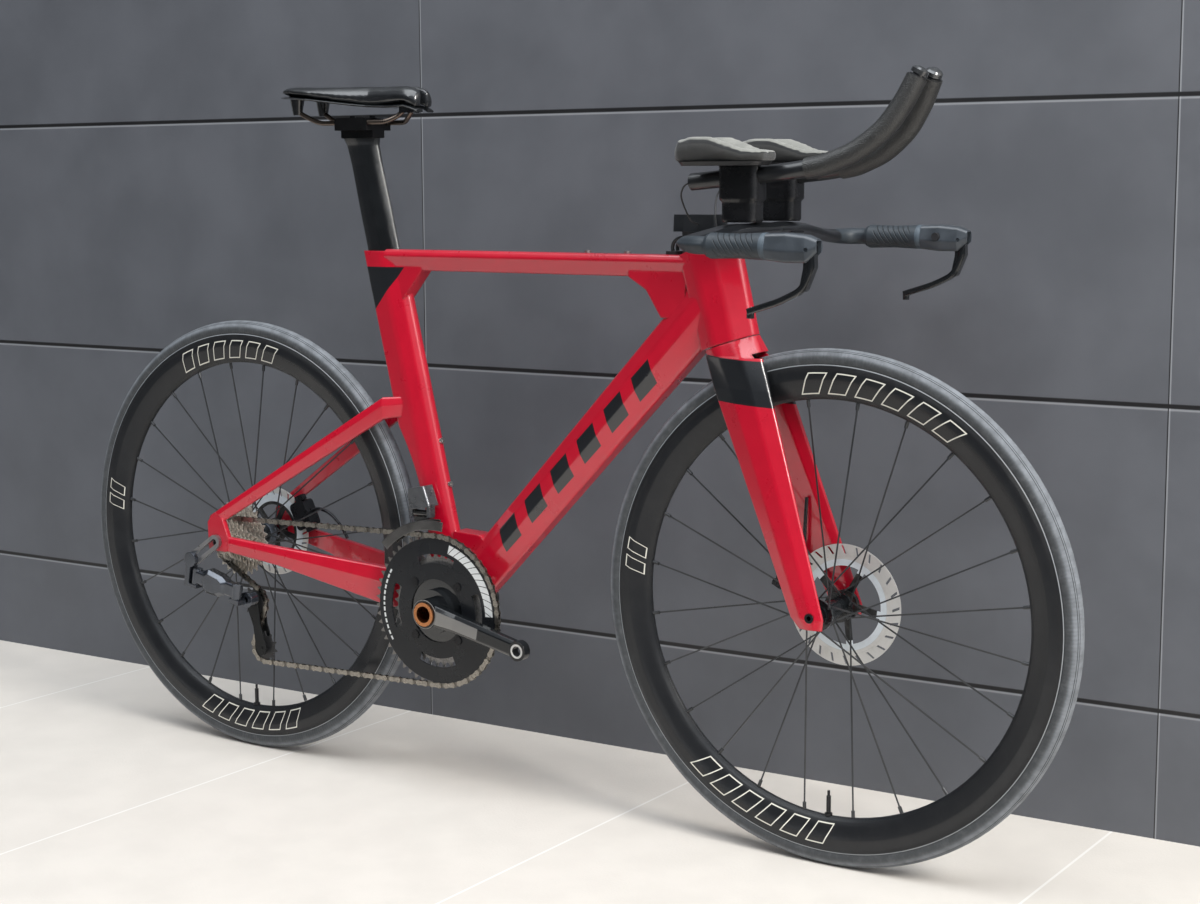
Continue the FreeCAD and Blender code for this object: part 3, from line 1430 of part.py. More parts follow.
def extension_grips():
    """Wrapped sleeves over the bent ends of the extensions."""
    sleeves = []
    for side in (-1, 1):
        points = extension_points(side)
        line = [Vector(*point) for point in points]
        start = line[1] + (line[2] - line[1]) * 0.5
        end = line[-1] - tip_heading(side) * 1.5
        route = [tuple(start)] + points[2:-1] + [tuple(end)]
        skin = feature(f"grip_skin_{side}", tube(route, num("extension_grip_radius"), 0.4))
        hollow = feature(f"grip_hollow_{side}", tube(points, num("extension_radius") + num("fit_gap")))
        sleeves.append(cut(f"extension_grip_{side}", skin, [hollow]))
    return group("extension_grips", sleeves)


def shift_button(name, side):
    """A domed push button in the tip of an extension, turned about the tip's own line."""
    heading = tip_heading(side)
    tip = Vector(*extension_points(side)[-1])
    aside = heading.cross(Vector(0, 1, 0)).normalize()
    slim, wide = num("tip_button_radius"), num("extension_radius")
    foot = num("button_travel") + 2 * num("running_gap")
    outline = [(0, -10), (slim, -10), (slim, foot), (wide, foot), (wide, foot + 5),
               (wide * 0.8, foot + 7.5), (wide * 0.4, foot + 9.5), (0, foot + 9.5)]
    edge = [tip + aside * out + heading * up for out, up in outline]
    return feature(name, Part.Face(Part.makePolygon(edge + edge[:1])).revolve(tip, heading, 360))


def risers():
    """Pillars on the bar that clamp the extensions and carry the arm cradles."""
    pillars = []
    chord, wide = num("riser_chord") / 2, num("riser_width") / 2
    top = cradle_z - num("fit_gap")
    lean = Vector(1, 0, extension_rise).normalize()
    for side in (-1, 1):
        y = side * num("riser_gap") / 2
        points = [(-chord, -wide), (chord, -wide), (chord, wide), (-chord, wide)]
        levels = [(riser_foot + num("fit_gap"), 0.94), (riser_foot + 3, 1.0),
                  (riser_foot + num("riser_height") - 4, 1.0),
                  (riser_foot + num("riser_height"), 1.12), (top, 1.12)]
        rings = [rounded([(a * grow, b * grow) for a, b in points], [10] * 4,
                         lambda a, b, z=z: Vector(bar_x + a, y + b, z)) for z, grow in levels]
        bore = rod(f"riser_bore_{side}", get("extension_radius") + get("fit_gap"), 120,
                   Vector(bar_x, y, extension_z) - lean * 60, along(lean))
        pillars.append(cut(f"riser_{side}", feature(f"riser_blank_{side}", loft(rings)), [bore]))
    return group("risers", pillars)


cradle_z = extension_z + num("extension_radius") + num("cradle_lift")


def cradle_outline(side, grow, z):
    """Arm rest outline in plan: broad behind, slimmer ahead."""
    long, wide = num("pad_length") / 2, num("pad_width") / 2
    middle = bar_x - num("pad_behind")
    points = [(-long, -0.72 * wide), (-0.2 * long, -wide), (long, -0.62 * wide), (long, 0.62 * wide),
              (-0.2 * long, wide),
              (-long, 0.72 * wide)]
    return rounded([(a * grow, b * grow) for a, b in points], [18, 40, 14, 14, 40, 18],
                   lambda a, b: Vector(middle + a, side * num("pad_gap") / 2 + b, z))


def arm_cradles():
    plates = []
    for side in (-1, 1):
        low, high = cradle_outline(side, 0.9, cradle_z), cradle_outline(side, 0.96,
                cradle_z + num("cradle_depth"))
        plates.append(feature(f"arm_cradle_{side}", loft([low, high])))
    return group("arm_cradles", plates)


def arm_pads():
    """Cupped foam pads: raised sides, a trough for the arm, low at the front."""
    pads = []
    foot = cradle_z + num("cradle_depth") + num("running_gap")
    long, wide, tall = num("pad_length") / 2, num("pad_width") / 2, num("pad_height")
    middle = bar_x - num("pad_behind")
    profile = ((-1.0, 0.62, 0.55), (-0.86, 0.86, 0.85), (-0.5, 0.98, 1.0), (-0.1, 1.0, 0.97),
               (0.25, 0.96, 0.72), (0.55, 0.88, 0.48), (0.85, 0.76, 0.42), (1.0, 0.6, 0.38))
    for side in (-1, 1):
        rings = []
        for share, spread, height in profile:
            half, high = wide * spread, tall * height
            x = middle + share * long
            y = side * num("pad_gap") / 2
            trough = high - 0.08 * high - 0.55 * tall * min(1.0, 1.25 * (1 - abs(share) ** 3)) * height
            points = [(-0.84 * half, 0), (0.84 * half, 0), (half, 0.5 * high), (0.82 * half, high),
                      (0.28 * half, trough),
                      (-0.28 * half, trough), (-0.82 * half, high), (-half, 0.5 * high)]
            rings.append(rounded(points, [4, 4, 7, 5, 12, 12, 5, 7], lambda a, b,
                                 x=x: Vector(x, y + a, foot + b)))
        pads.append(feature(f"arm_pad_{side}", loft(rings)))
    return group("arm_pads", pads)


def control_wires():
    """Thin wires that loop from the rear ends of the extensions to the stem cover."""
    wires = []
    for side in (-1, 1):
        x, y, z = extension_points(side)[0]
        wall = num("cover_width") / 2 * 0.9
        low = bar_z - 5 + 0.45 * num("cover_height")
        foot_x = stem_foot.x - num("cover_behind") + 0.6 * num("cover_length")
        points = [(x - 0.2, y, z), (x - 12, y, z - 4), (x - 20, y - side * 4, z - 16),
                  (x - 19, y - side * 10, z - 30),
                  (foot_x - 3, side * (wall + 14), low + 4), (foot_x, side * (wall + 1.2), low)]
        wires.append(feature(f"control_wire_{side}", tube(points, num("wire_radius"))))
    return group("control_wires", wires)


def frame_hoses():
    """Two hoses out of a grommet in the top tube, up into the stem cover, with the grommet."""
    top = num("top_tube_height")
    rear = stem_foot.x - num("stem_tail")
    x = rear - 16
    entry = bar_z - 14
    hoses = []
    for side in (-1, 1):
        y = side * 6
        points = [(x, y, top + 4.6), (x - 1, y, top + 9), (x + 1, y, entry - 5), (rear - 8, y, entry),
                  (rear - 1, y, entry + 1)]
        hoses.append(feature(f"frame_hose_{side}", tube(points, num("hose_radius"))))
    outline = rounded([(x - 11, -11), (x + 9, -11), (x + 9, 11), (x - 11, 11)], [7] * 4, lambda a,
                      b: Vector(a, b, top + 0.1))
    grommet = feature("frame_grommet", Part.Face(outline).extrude(Vector(0, 0, 4)))
    return group("frame_hoses", hoses + [grommet])


# Brakes
def caliper(name, axle_x, radius, side, heading, reach, feet, hose):
    """A caliper astride the rotor's edge, with its two pads inside and the hose that feeds it.

    heading is the direction from the axle to the caliper's middle, reach how far out that lies.
    """
    out = Vector(*heading).normalize()
    across = Vector(0, 1, 0).cross(out)
    middle = Vector(float(axle_x), float(side), num("tyre_radius")) + out * reach
    long, deep, wide = num("caliper_length"), num("caliper_depth"), num("caliper_width")

    def box(length, depth, low, high, shift_out=0.0, shift_along=0.0):
        corners = [(-length / 2, -depth / 2), (length / 2, -depth / 2), (length / 2, depth / 2),
                   (-length / 2, depth / 2)]
        wire = rounded(corners, [min(length, depth) * 0.22] * 4, lambda a,
                       b: middle + across * (a + shift_along) +
                       out * (b + shift_out) + Vector(0, low, 0))
        return Part.Face(wire).extrude(Vector(0, high - low, 0))

    body = box(long, deep, -wide / 2, wide / 2)
    for lug in (-1, 1):
        body = body.fuse(box(9, deep * 0.55, *feet, 0.3 * deep, lug * (long / 2 + 3)))
    blank = feature(name + "_blank", body)
    room = num("rotor_thickness") / 2 + num("pad_gap_to_rotor") + num("brake_pad_depth") + num("fit_gap")
    slot = rod(name + "_slot", radius + 3, 2 * room, (axle_x, side - room, axle_height), LEFTWARD)
    pads = []
    for hand in (-1, 1):
        low = hand * (num("rotor_thickness") / 2 + num("pad_gap_to_rotor"))
        high = low + hand * num("brake_pad_depth")
        inner = radius.value - reach - num("rotor_band") / 2
        pad = box(long * 0.5, num("rotor_band") * 0.8, min(low, high), max(low, high), inner)
        pads.append(feature(f"{name}_pad_{hand}", pad))
    return group(name, [cut(name + "_body", blank, [slot])] + pads + [hose])


# Drivetrain: sprockets and chain share one pitch
chain_pitch = num("chain_pitch")
chain_y = -num("chain_line")


def pitch_radius(teeth):
    return chain_pitch / 2 / math.sin(math.pi / teeth)


def toothed_wire(teeth, phase):
    """Outline of a sprocket in the XZ plane about the origin, with a tooth gap at the phase angle."""
    reach = pitch_radius(teeth)
    seat = num("roller_radius") + 2 * num("fit_gap")
    tip = reach + num("tooth_height")
    lean = math.radians(75)
    edges = []

    def polar(radius, angle):
        return Vector(radius * math.cos(angle), 0, radius * math.sin(angle))

    gaps = []
    for index in range(teeth):
        angle = phase + 2 * math.pi * index / teeth
        outward, onward = polar(1, angle), polar(1, angle + math.pi / 2)
        middle = outward * reach
        gaps.append((angle, middle - onward * (seat * math.sin(lean)) - outward * (seat * math.cos(lean)),
                     middle - outward * seat,
                     middle + onward * (seat * math.sin(lean)) - outward * (seat * math.cos(lean))))
    for index, (angle, start, floor, end) in enumerate(gaps):
        crest = angle + math.pi / teeth
        land = num("tooth_land") / 2 / tip
        corners = [end, polar(tip, crest - land), polar(tip, crest + land), gaps[(index + 1) % teeth][1]]
        edges.append(Part.Arc(start, floor, end).toShape())
        edges += [Part.LineSegment(a, b).toShape() for a, b in zip(corners, corners[1:])]
    return Part.Wire(edges)


def sprocket(teeth, phase, thickness, bore, centre, y):
    """A toothed plate, bored, centred on y."""
    hole = Part.Wire(Part.Circle(Vector(0, 0, 0), Vector(0, 1, 0), bore).toShape())
    face = Part.Face([toothed_wire(teeth, phase), hole])
    solid = face.extrude(Vector(0, thickness, 0))
    solid.translate(Vector(centre.x, y - thickness / 2, centre.z))
    return solid


# Chain path: upper run, driven cog, guide pulley, tension pulley, lower run, ring
ring_teeth = int(num("outer_ring_teeth"))
cog_teeth = int(num("driven_cog_teeth"))
pulley_teeth = int(num("pulley_teeth"))
guide_spot = rear_axle + Vector(num("guide_ahead"), 0, -num("guide_drop"))


def chain_circles(swing):
    """Centres, radii and turning senses round the loop for one angle of the cage."""
    tension = guide_spot + Vector(math.sin(swing), 0, -math.cos(swing)) * num("cage_length")
    return [(bracket, pitch_radius(ring_teeth), 1), (rear_axle, pitch_radius(cog_teeth), 1),
            (guide_spot, pitch_radius(pulley_teeth), -1), (tension, pitch_radius(pulley_teeth), 1)]


def chain_legs(swing):
    """The loop as straight runs and arcs: each leg is a length and a function from distance to place."""
    circles = chain_circles(swing)
    tangents = []
    for index, (first, reach, sense) in enumerate(circles):
        second, reach_on, sense_on = circles[(index + 1) % len(circles)]
        gap = second - first
        heading = math.atan2(gap.z, gap.x) - math.asin((sense_on * reach_on - sense * reach) / gap.Length)
        left = Vector(-math.sin(heading), 0, math.cos(heading))
        tangents.append((first - left * (sense * reach), second - left * (sense_on * reach_on)))
    legs = []
    for index, (centre, reach, sense) in enumerate(circles):
        arrive, leave = tangents[index - 1][1] - centre, tangents[index][0] - centre
        start = math.atan2(arrive.z, arrive.x)
        sweep = (sense * (math.atan2(leave.z, leave.x) - start)) % (2 * math.pi)
        legs.append((reach * sweep, lambda s, c=centre, r=reach, a=start, k=sense:
                     Vector(c.x + r * math.cos(a + k * s / r), 0, c.z + r * math.sin(a + k * s / r))))
        begin, end = tangents[index]
        run = end - begin
        legs.append((run.Length, lambda s, b=begin, d=run.normalize(): b + d * s))
    return legs


def chain_place(legs, distance):
    for length, where in legs:
        if distance <= length:
            return where(distance)
        distance -= length
    return legs[0][1](distance)


def chain_pins(swing):
    """Pins one pitch apart round the loop, and the part of a pitch that is left over."""
    legs = chain_legs(swing)
    total = sum(length for length, _ in legs)
    spots, distance = [chain_place(legs, 0)], 0.0
    while True:
        low, high = distance + 0.9 * chain_pitch, distance + 1.2 * chain_pitch
        for _ in range(40):
            middle = (low + high) / 2
            if (chain_place(legs, middle) - spots[-1]).Length < chain_pitch:
                low = middle
            else:
                high = middle
        if low > total - 0.2 * chain_pitch:
            return spots, (spots[-1] - spots[0]).Length / chain_pitch
        distance = low
        spots.append(chain_place(legs, distance))


def chain_excess(swing):
    """Pitches round the loop, as a number with a fraction."""
    spots, rest = chain_pins(swing)
    return len(spots) - 1 + rest


def settled_swing():
    """The cage angle that closes the chain on a whole even number of links."""
    low, high = math.radians(-25), math.radians(40)
    wanted = 2 * round(chain_excess(math.radians(num("cage_swing"))) / 2)
    for _ in range(40):
        middle = (low + high) / 2
        if chain_excess(middle) > wanted:
            low = middle
        else:
            high = middle
    return low, wanted


cage_swing, link_count = settled_swing()
pins = chain_pins(cage_swing)[0][:link_count]
tension_spot = chain_circles(cage_swing)[3][0]


def phase_at(centre, reach):
    """Angle of a chain pin that lies on a sprocket's pitch circle."""
    pin = min(pins, key=lambda spot: abs((spot - centre).Length - reach) + 0.02 * abs(spot.z - pins[0].z))
    offset = pin - centre
    return math.atan2(offset.z, offset.x)


def link_plate(low, high, radius):
    """A waisted side plate from y low to high, pins at the origin and one pitch along X."""
    waist = radius * 0.72
    half = chain_pitch / 2
    bow = Part.Arc(Vector(0, 0, radius), Vector(-radius, 0, 0), Vector(0, 0, -radius)).toShape()
    lower = Part.Arc(Vector(0, 0, -radius), Vector(half, 0, -waist),
                     Vector(chain_pitch, 0, -radius)).toShape()
    stern = Part.Arc(Vector(chain_pitch, 0, -radius), Vector(chain_pitch + radius, 0, 0),
                     Vector(chain_pitch, 0, radius)).toShape()
    upper = Part.Arc(Vector(chain_pitch, 0, radius), Vector(half, 0, waist),
                     Vector(0, 0, radius)).toShape()
    plate_face = Part.Face(Part.Wire([bow, lower, stern, upper]))
    plate_face.translate(Vector(0, low, 0))
    return plate_face.extrude(Vector(0, high - low, 0))


def chain():
    """Inner links with their rollers, and outer plates with pin ends, laid pin to pin."""
    gap, thick, tall = num("chain_inner_width") / 2, num("link_plate_thickness"), num("link_plate_radius")
    slack = num("fit_gap") / 2
    roll = [Part.makeCylinder(num("roller_radius"), 2 * gap, Vector(x, -gap, 0),
                              Vector(0, 1, 0)) for x in (0, chain_pitch)]
    inner = link_plate(gap, gap + thick, tall).multiFuse([link_plate(-gap - thick, -gap, tall)] + roll)
    inner = inner.removeSplitter()
    outer = []
    for side in (-1, 1):
        near, far = gap + thick + slack, gap + 2 * thick + slack
        low, high = sorted((side * near, side * far))
        ends = [Part.makeCylinder(num("roller_radius") * 0.45, thick * 0.2, Vector(x, side * far, 0),
                                  Vector(0, side, 0))
                for x in (0, chain_pitch)]
        outer.append(link_plate(low, high, tall).multiFuse(ends).removeSplitter())
    links = []
    for index, pin in enumerate(pins):
        following = pins[(index + 1) % len(pins)]
        run = following - pin
        turn = Rotation(Vector(0, 1, 0), -math.degrees(math.atan2(run.z, run.x)))
        for solid in ([inner] if index % 2 == 0 else outer):
            link = solid.copy()
            link.Placement = Placement(pin + Vector(0, chain_y, 0), turn)
            links.append(link)
    return feature("chain", Part.makeCompound(links))


# Crank: spindle, arms, spider and rings
ring_bolt_angles = [math.radians(45 + 90 * index) for index in range(4)]
arm_angle = math.radians(num("crank_angle"))
tab_low = chain_y + num("ring_thickness") / 2 + num("fit_gap")
inner_ring_y = chain_y + num("ring_gap")
tab_high = inner_ring_y - num("ring_thickness") / 2 - num("fit_gap")
arm_root_y = -num("arm_root")


def bolt_holes(name, radius, low, high):
    """Four rods on the ring bolts' circle."""
    reach = num("ring_bolt_circle") / 2
    return [rod(f"{name}_{index}", radius, high - low, (bracket_x + reach * math.cos(angle), low,
                bracket_z + reach * math.sin(angle)), LEFTWARD) for index,
                angle in enumerate(ring_bolt_angles)]


def chainring_outer():
    """The outer ring: a closed disc with four curved windows near its bolts."""
    phase = phase_at(bracket, pitch_radius(ring_teeth))
    disc = sprocket(ring_teeth, phase, num("ring_thickness"), num("ring_bore"), bracket, chain_y)
    windows = []
    middle, half = num("ring_window_radius"), num("ring_window_depth") / 2
    for index in range(4):
        angle = math.radians(90 * index)
        spread = math.radians(24)
        arcs = []
        for reach, order in ((middle + half, 1), (middle - half, -1)):
            spots = [Vector(bracket.x + reach * math.cos(angle + k * spread), chain_y - 5,
                            bracket.z + reach * math.sin(angle + k * spread)) for k in (-order, 0, order)]
            arcs.append(spots)
        edges = [Part.Arc(*arcs[0]).toShape(), Part.LineSegment(arcs[0][2], arcs[1][0]).toShape(),
                 Part.Arc(*arcs[1]).toShape(), Part.LineSegment(arcs[1][2], arcs[0][0]).toShape()]
        windows.append(feature(f"ring_window_{index}",
                               Part.Face(Part.Wire(edges)).extrude(Vector(0, 10, 0))))
    return cut("chainring_outer", feature("ring_disc", disc), windows +
               bolt_holes("ring_hole", get("ring_bolt_radius") + get("fit_gap"), chain_y - 5,
                          chain_y + 5))


def chainring_inner():
    disc = sprocket(int(num("inner_ring_teeth")), 0.0, num("ring_thickness"), num("ring_bore"), bracket,
                    inner_ring_y)
    return cut("chainring_inner", feature("inner_disc", disc),
               bolt_holes("inner_hole", get("ring_bolt_radius") + get("fit_gap"), inner_ring_y - 5,
                          inner_ring_y + 5))


def chainring_bolts():
    """Four bolts through both rings and the spider's tabs."""
    low = chain_y - num("ring_thickness") / 2 - num("fit_gap")
    high = inner_ring_y + num("ring_thickness") / 2 + 0.5
    shanks = bolt_holes("ring_bolt_shank", get("ring_bolt_radius"), low - 1, high)
    heads = bolt_holes("ring_bolt_head", get("ring_bolt_radius") * 1.5, low - 1.5, low)
    return group("chainring_bolts", [fuse(f"ring_bolt_{index}", pair) for index,
                                     pair in enumerate(zip(shanks, heads))])


def crank_spider():
    bore = get("spindle_radius") + get("fit_gap")
    wall = get("bottom_bracket_shell_radius") + 3
    step = -get("bottom_bracket_width") / 2 - get("cup_flange") - 0.8
    reach = get("ring_bolt_circle") / 2 + get("ring_bolt_radius") + 3
    loop = [(arm_root_y, bore), (step, bore), (step, wall), (tab_high, wall), (tab_high, reach),
            (tab_low, reach),
            (tab_low, wall + 5), (arm_root_y, wall + 5)]
    disc = turned("spider_disc", [loop], (bracket_x, 0, bracket_z))
    gaps = []
    for index in range(4):
        angle = math.radians(90 * index)
        gaps.append(rod(f"spider_gap_{index}", 17, tab_high - tab_low + 4,
                        (bracket_x + reach.value * math.cos(angle),
                        tab_low - 2, bracket_z + reach.value * math.sin(angle)), LEFTWARD))
    return cut("crank_spider", disc, gaps + bolt_holes("spider_hole",
            get("ring_bolt_radius") + get("fit_gap"), tab_low - 3,
                                                       tab_high + 3))


def crank_spindle():
    """A hollow spindle through the shell, with a flange that shows outside the right arm."""
    outer, bore = get("spindle_radius"), get("spindle_bore")
    right, left = -get("arm_root") - get("arm_boss_depth"), get("arm_root") + get("arm_boss_depth")
    loop = [(right - 2.4, bore), (left, bore), (left, outer), (right - 0.1, outer),
            (right - 0.1, outer + 2.2),
            (right - 2.4, outer + 2.2)]
    return turned("crank_spindle", [loop], (bracket_x, 0, bracket_z))


def crank_arm(name, side, angle, boss_inner):
    """A tapering arm from the spindle to the threaded pedal eye."""
    heading = Vector(math.cos(angle), 0, math.sin(angle))
    over = Vector(-math.sin(angle), 0, math.cos(angle))
    long, splay = num("crank_length"), num("arm_splay")
    root, deep, thin = num("arm_root"), num("arm_boss_depth"), num("arm_tip_depth")

    def ring(distance, tall, low, high):
        points = [(-tall / 2, low), (tall / 2, low), (tall / 2, high - 4), (tall * 0.3, high),
                  (-tall * 0.3, high),
                  (-tall / 2, high - 4)]
        return rounded(points, [2, 2, 2, 3, 3, 2], lambda a,
                       b: bracket + heading * distance + over * a + Vector(0, side * b, 0))

    arm = loft([ring(0, 34, root, root + deep), ring(0.3 * long, 27, root + 0.2 * splay, root + deep - 1),
                ring(long - 4, 24, root + splay + deep - thin, root + splay + deep)])
    pedal = bracket + heading * long
    eye_low = side * (root + splay + deep - thin)
    boss = rod(name + "_boss", get("arm_boss_radius"), boss_inner + deep,
               (bracket_x, side * (root - boss_inner), bracket_z),
               along((0, side, 0)))
    eye = rod(name + "_eye", get("pedal_eye_radius"), get("arm_tip_depth"), (pedal.x, eye_low, pedal.z),
              along((0, side, 0)))
    bores = [rod(name + "_spindle_bore", get("spindle_radius") + get("fit_gap"), 120,
                 (bracket_x, side * 20, bracket_z),
                 along((0, side, 0))),
             rod(name + "_pedal_bore", get("pedal_thread_radius"), 60,
                 (pedal.x, eye_low - side * 20, pedal.z),
                 along((0, side, 0)))]
    return cut(name, fuse(name + "_blank", [feature(name + "_beam", arm), boss, eye]), bores)


def bracket_cups():
    """Two bearing cups pressed into the shell."""
    half, deep, lip = get("bottom_bracket_width") / 2, get("cup_depth"), get("cup_flange")
    bore = get("spindle_radius") + get("fit_gap")
    fit = get("bottom_bracket_bore_radius") - get("fit_gap")
    loop = [(half - deep, bore), (half + lip, bore), (half + lip, fit + 2), (half + 0.1, fit + 2),
            (half + 0.1, fit),
            (half - deep, fit)]
    cups = [turned("left_cup", [loop], (bracket_x, 0, bracket_z)),
            turned("right_cup", [loop], (bracket_x, 0, bracket_z), Rotation(Vector(0, 0, 1), -90))]
    return cups


# Cassette on its freehub
COG_TEETH = (11, 12, 13, 14, 15, 17, 19, 21, 23, 25, 28)


def cassette():
    cogs = []
    bore = num("freehub_radius") + num("fit_gap")
    thick, step = num("cog_thickness"), num("cog_pitch")
    driven = COG_TEETH.index(cog_teeth)
    for index, teeth in enumerate(COG_TEETH):
        y = chain_y - (driven - index) * step
        phase = phase_at(rear_axle, pitch_radius(cog_teeth)) if index == driven else 0.3 * index
        solid = sprocket(teeth, phase, thick, bore, rear_axle, y)
        if index < len(COG_TEETH) - 1:
            spacer = Part.makeCylinder(bore + 2.4, step - thick, rear_axle + Vector(0, y + thick / 2, 0),
                                       Vector(0, 1, 0))
            hole = Part.makeCylinder(bore, step, rear_axle + Vector(0, y, 0), Vector(0, 1, 0))
            solid = solid.fuse(spacer.cut(hole)).removeSplitter()
        cogs.append(feature(f"cog_{teeth}", solid))
    outer = chain_y - driven * step - thick / 2
    lock = turned("cassette_lock_ring",
                  [[(outer - 2.4, get("freehub_radius") - 4), (outer - 0.1, get("freehub_radius") - 4),
                  (outer - 0.1, get("freehub_radius") + 2), (outer - 2.4, get("freehub_radius") + 2)]],
                  (rear_axle_x, 0, axle_height))
    return group("cassette", cogs + [lock, freehub()])


hub_shoulder = -num("rear_flange_right") - num("flange_thickness") / 2 - 3


def freehub():
    bore = get("axle_radius") + get("fit_gap")
    inboard = hub_shoulder - 1.4
    driven = COG_TEETH.index(cog_teeth)
    outboard = chain_y - driven * num("cog_pitch") - num("cog_thickness") / 2
    end = -get("rear_dropout_gap") / 2 + get("fit_gap")
    loop = [(end, bore), (inboard, bore), (inboard, get("freehub_radius")),
            (outboard, get("freehub_radius")),
            (outboard, get("freehub_radius") - 4.2), (outboard - 2.4, get("freehub_radius") - 4.2),
            (outboard - 2.4, get("hub_cap_radius")), (end, get("hub_cap_radius"))]
    return turned("freehub", [loop], (rear_axle_x, 0, axle_height))


# Rear derailleur
dropout_face = -stay_inner_rear - num("dropout_depth")
link_low = dropout_face - num("fit_gap") - num("hanger_depth")
hanger_foot = rear_axle + Vector(-num("hanger_behind"), 0, -num("hanger_drop"))
arm_pivot = hanger_foot + Vector(6, 0, -num("knuckle_drop"))
cage_pivot = guide_spot + Vector(6, 0, 8)
arm_end = cage_pivot + Vector(-8, 0, num("arm_end_lift"))
arm_run = (arm_end - arm_pivot).normalize()
arm_up = Vector(-arm_run.z, 0, arm_run.x)
arm_y = dropout_face - num("arm_inboard")


def derailleur_hanger():
    """A flat open link from the axle's dropout to the derailleur's upper knuckle."""
    first, last = rear_axle + Vector(2, 0, 3), hanger_foot

    def loop(radius):
        run = (last - first).normalize()
        side = Vector(-run.z, 0, run.x) * radius
        ends = [(first + side, first - run * radius, first - side),
                (last - side, last + run * radius, last + side)]
        edges = [Part.Arc(*ends[0]).toShape(), Part.LineSegment(ends[0][2], ends[1][0]).toShape(),
                 Part.Arc(*ends[1]).toShape(), Part.LineSegment(ends[1][2], ends[0][0]).toShape()]
        return Part.Wire(edges)

    rise = Vector(0, num("hanger_depth"), 0)
    blank = Part.Face(loop(num("hanger_width") / 2)).extrude(rise)
    slot = Part.Face(loop(num("hanger_slot") / 2)).extrude(rise)
    link = blank.cut(slot)
    link.translate(Vector(0, link_low, 0))
    return feature("derailleur_hanger", link)


def beam(start, end, tall_start, tall_end, low, high, radius):
    """A tapering rounded block between two places, from y low to high."""
    run = (end - start).normalize()
    over = Vector(-run.z, 0, run.x)
    middle = (low + high) / 2
    half = (high - low) / 2

    def ring(spot, tall):
        points = [(-tall / 2, -half), (tall / 2, -half), (tall / 2, half), (-tall / 2, half)]
        return rounded(points, [radius] * 4, lambda a, b: spot + over * a + Vector(0, middle + b, 0))

    return loft([ring(start, tall_start), ring(end, tall_end)])


def aligned(length, depth, height, base):
    """A block square to the arm: length along it, depth along Y, height across it, from its base corner."""
    solid = Part.makeBox(length, depth, height)
    solid.Placement = Placement(base, Rotation(arm_run, Vector(0, 1, 0), arm_up, "ZXY"))
    return solid


def rd_knuckle():
    """The upper knuckle hangs on the link, reaches round the arm's end and carries its pivot pin."""
    barrel, deep = num("arm_barrel") / 2, num("arm_body_depth")
    low, gap = link_low - 7, num("running_gap")
    clear = deep / 2 + 0.5 + 2 * gap
    head = rod("knuckle_head", num("hanger_width") / 2 + 1, 7 - num("fit_gap"),
               (hanger_foot.x, low, hanger_foot.z), LEFTWARD)
    corner = arm_pivot - arm_run * (clear + 9) - arm_up * (barrel + gap + 5) + Vector(0, low, 0)
    wide = arm_y + deep / 2 - low
    web_high = feature("knuckle_web", aligned(9, wide, 2 * barrel + 12, corner))
    foot = feature("knuckle_foot", aligned(clear + 9 + deep / 2, wide, 5, corner))
    pin = rod("knuckle_pin", get("pin_radius"), 2 * barrel + 4,
              arm_pivot - arm_up * (barrel + 4) + Vector(0, arm_y, 0),
              along(arm_up))
    room = rod("knuckle_link_room", num("hanger_width") / 2 + 2 * gap, 30,
               (hanger_foot.x, link_low - num("fit_gap"), hanger_foot.z),
               LEFTWARD)
    return cut("rd_knuckle", fuse("knuckle_blank", [head, web_high, foot, pin]), [room])


def rd_arm():
    """The parallelogram's outer arm with a barrel at each end."""
    tall, deep = num("arm_barrel"), num("arm_body_depth")
    body = feature("arm_body", beam(arm_pivot, arm_end, tall - 2, tall - 2, arm_y - deep / 2,
                                    arm_y + deep / 2, 4))
    barrels = [rod(f"arm_barrel_{index}", deep / 2 + 0.5, tall,
                   spot - arm_up * (tall / 2) + Vector(0, arm_y, 0), along(arm_up))
               for index, spot in enumerate((arm_pivot, arm_end))]
    bores = [rod(f"arm_bore_{index}", get("pin_radius") + get("fit_gap"), tall + 4,
                 spot - arm_up * (tall / 2 + 2) + Vector(0, arm_y, 0), along(arm_up))
             for index, spot in enumerate((arm_pivot, arm_end))]
    run = (arm_end - arm_pivot).Length
    swell = num("arm_swell")
    outline = [(0.19 * run, -tall / 2), (0.32 * run, -tall / 2 - swell),
               (0.62 * run, -tall / 2 - swell * 0.8), (0.80 * run, -tall / 2 + 2),
               (0.80 * run, tall / 2 - 3), (0.66 * run, tall / 2 + swell * 0.5),
               (0.30 * run, tall / 2 + swell), (0.19 * run, tall / 2)]
    middle = 0.495 * run
    outer, inner = arm_y - deep / 2, arm_y + deep / 2
    rings = [rounded([(middle + (a - middle) * grow, b * grow) for a, b in outline], [4 * grow] * 8,
                     lambda a, b, y=y: arm_pivot + arm_run * a + arm_up * b + Vector(0, y, 0))
             for grow, y in ((0.7, outer - 4), (1.0, outer + 2), (1.0, inner))]
    housing = feature("arm_housing", loft(rings))
    return cut("rd_arm", fuse("arm_blank", [body, housing] + barrels), bores)


cage_outer_y = chain_y - num("cage_gap") / 2 - num("cage_plate")
cage_inner_y = chain_y + num("cage_gap") / 2


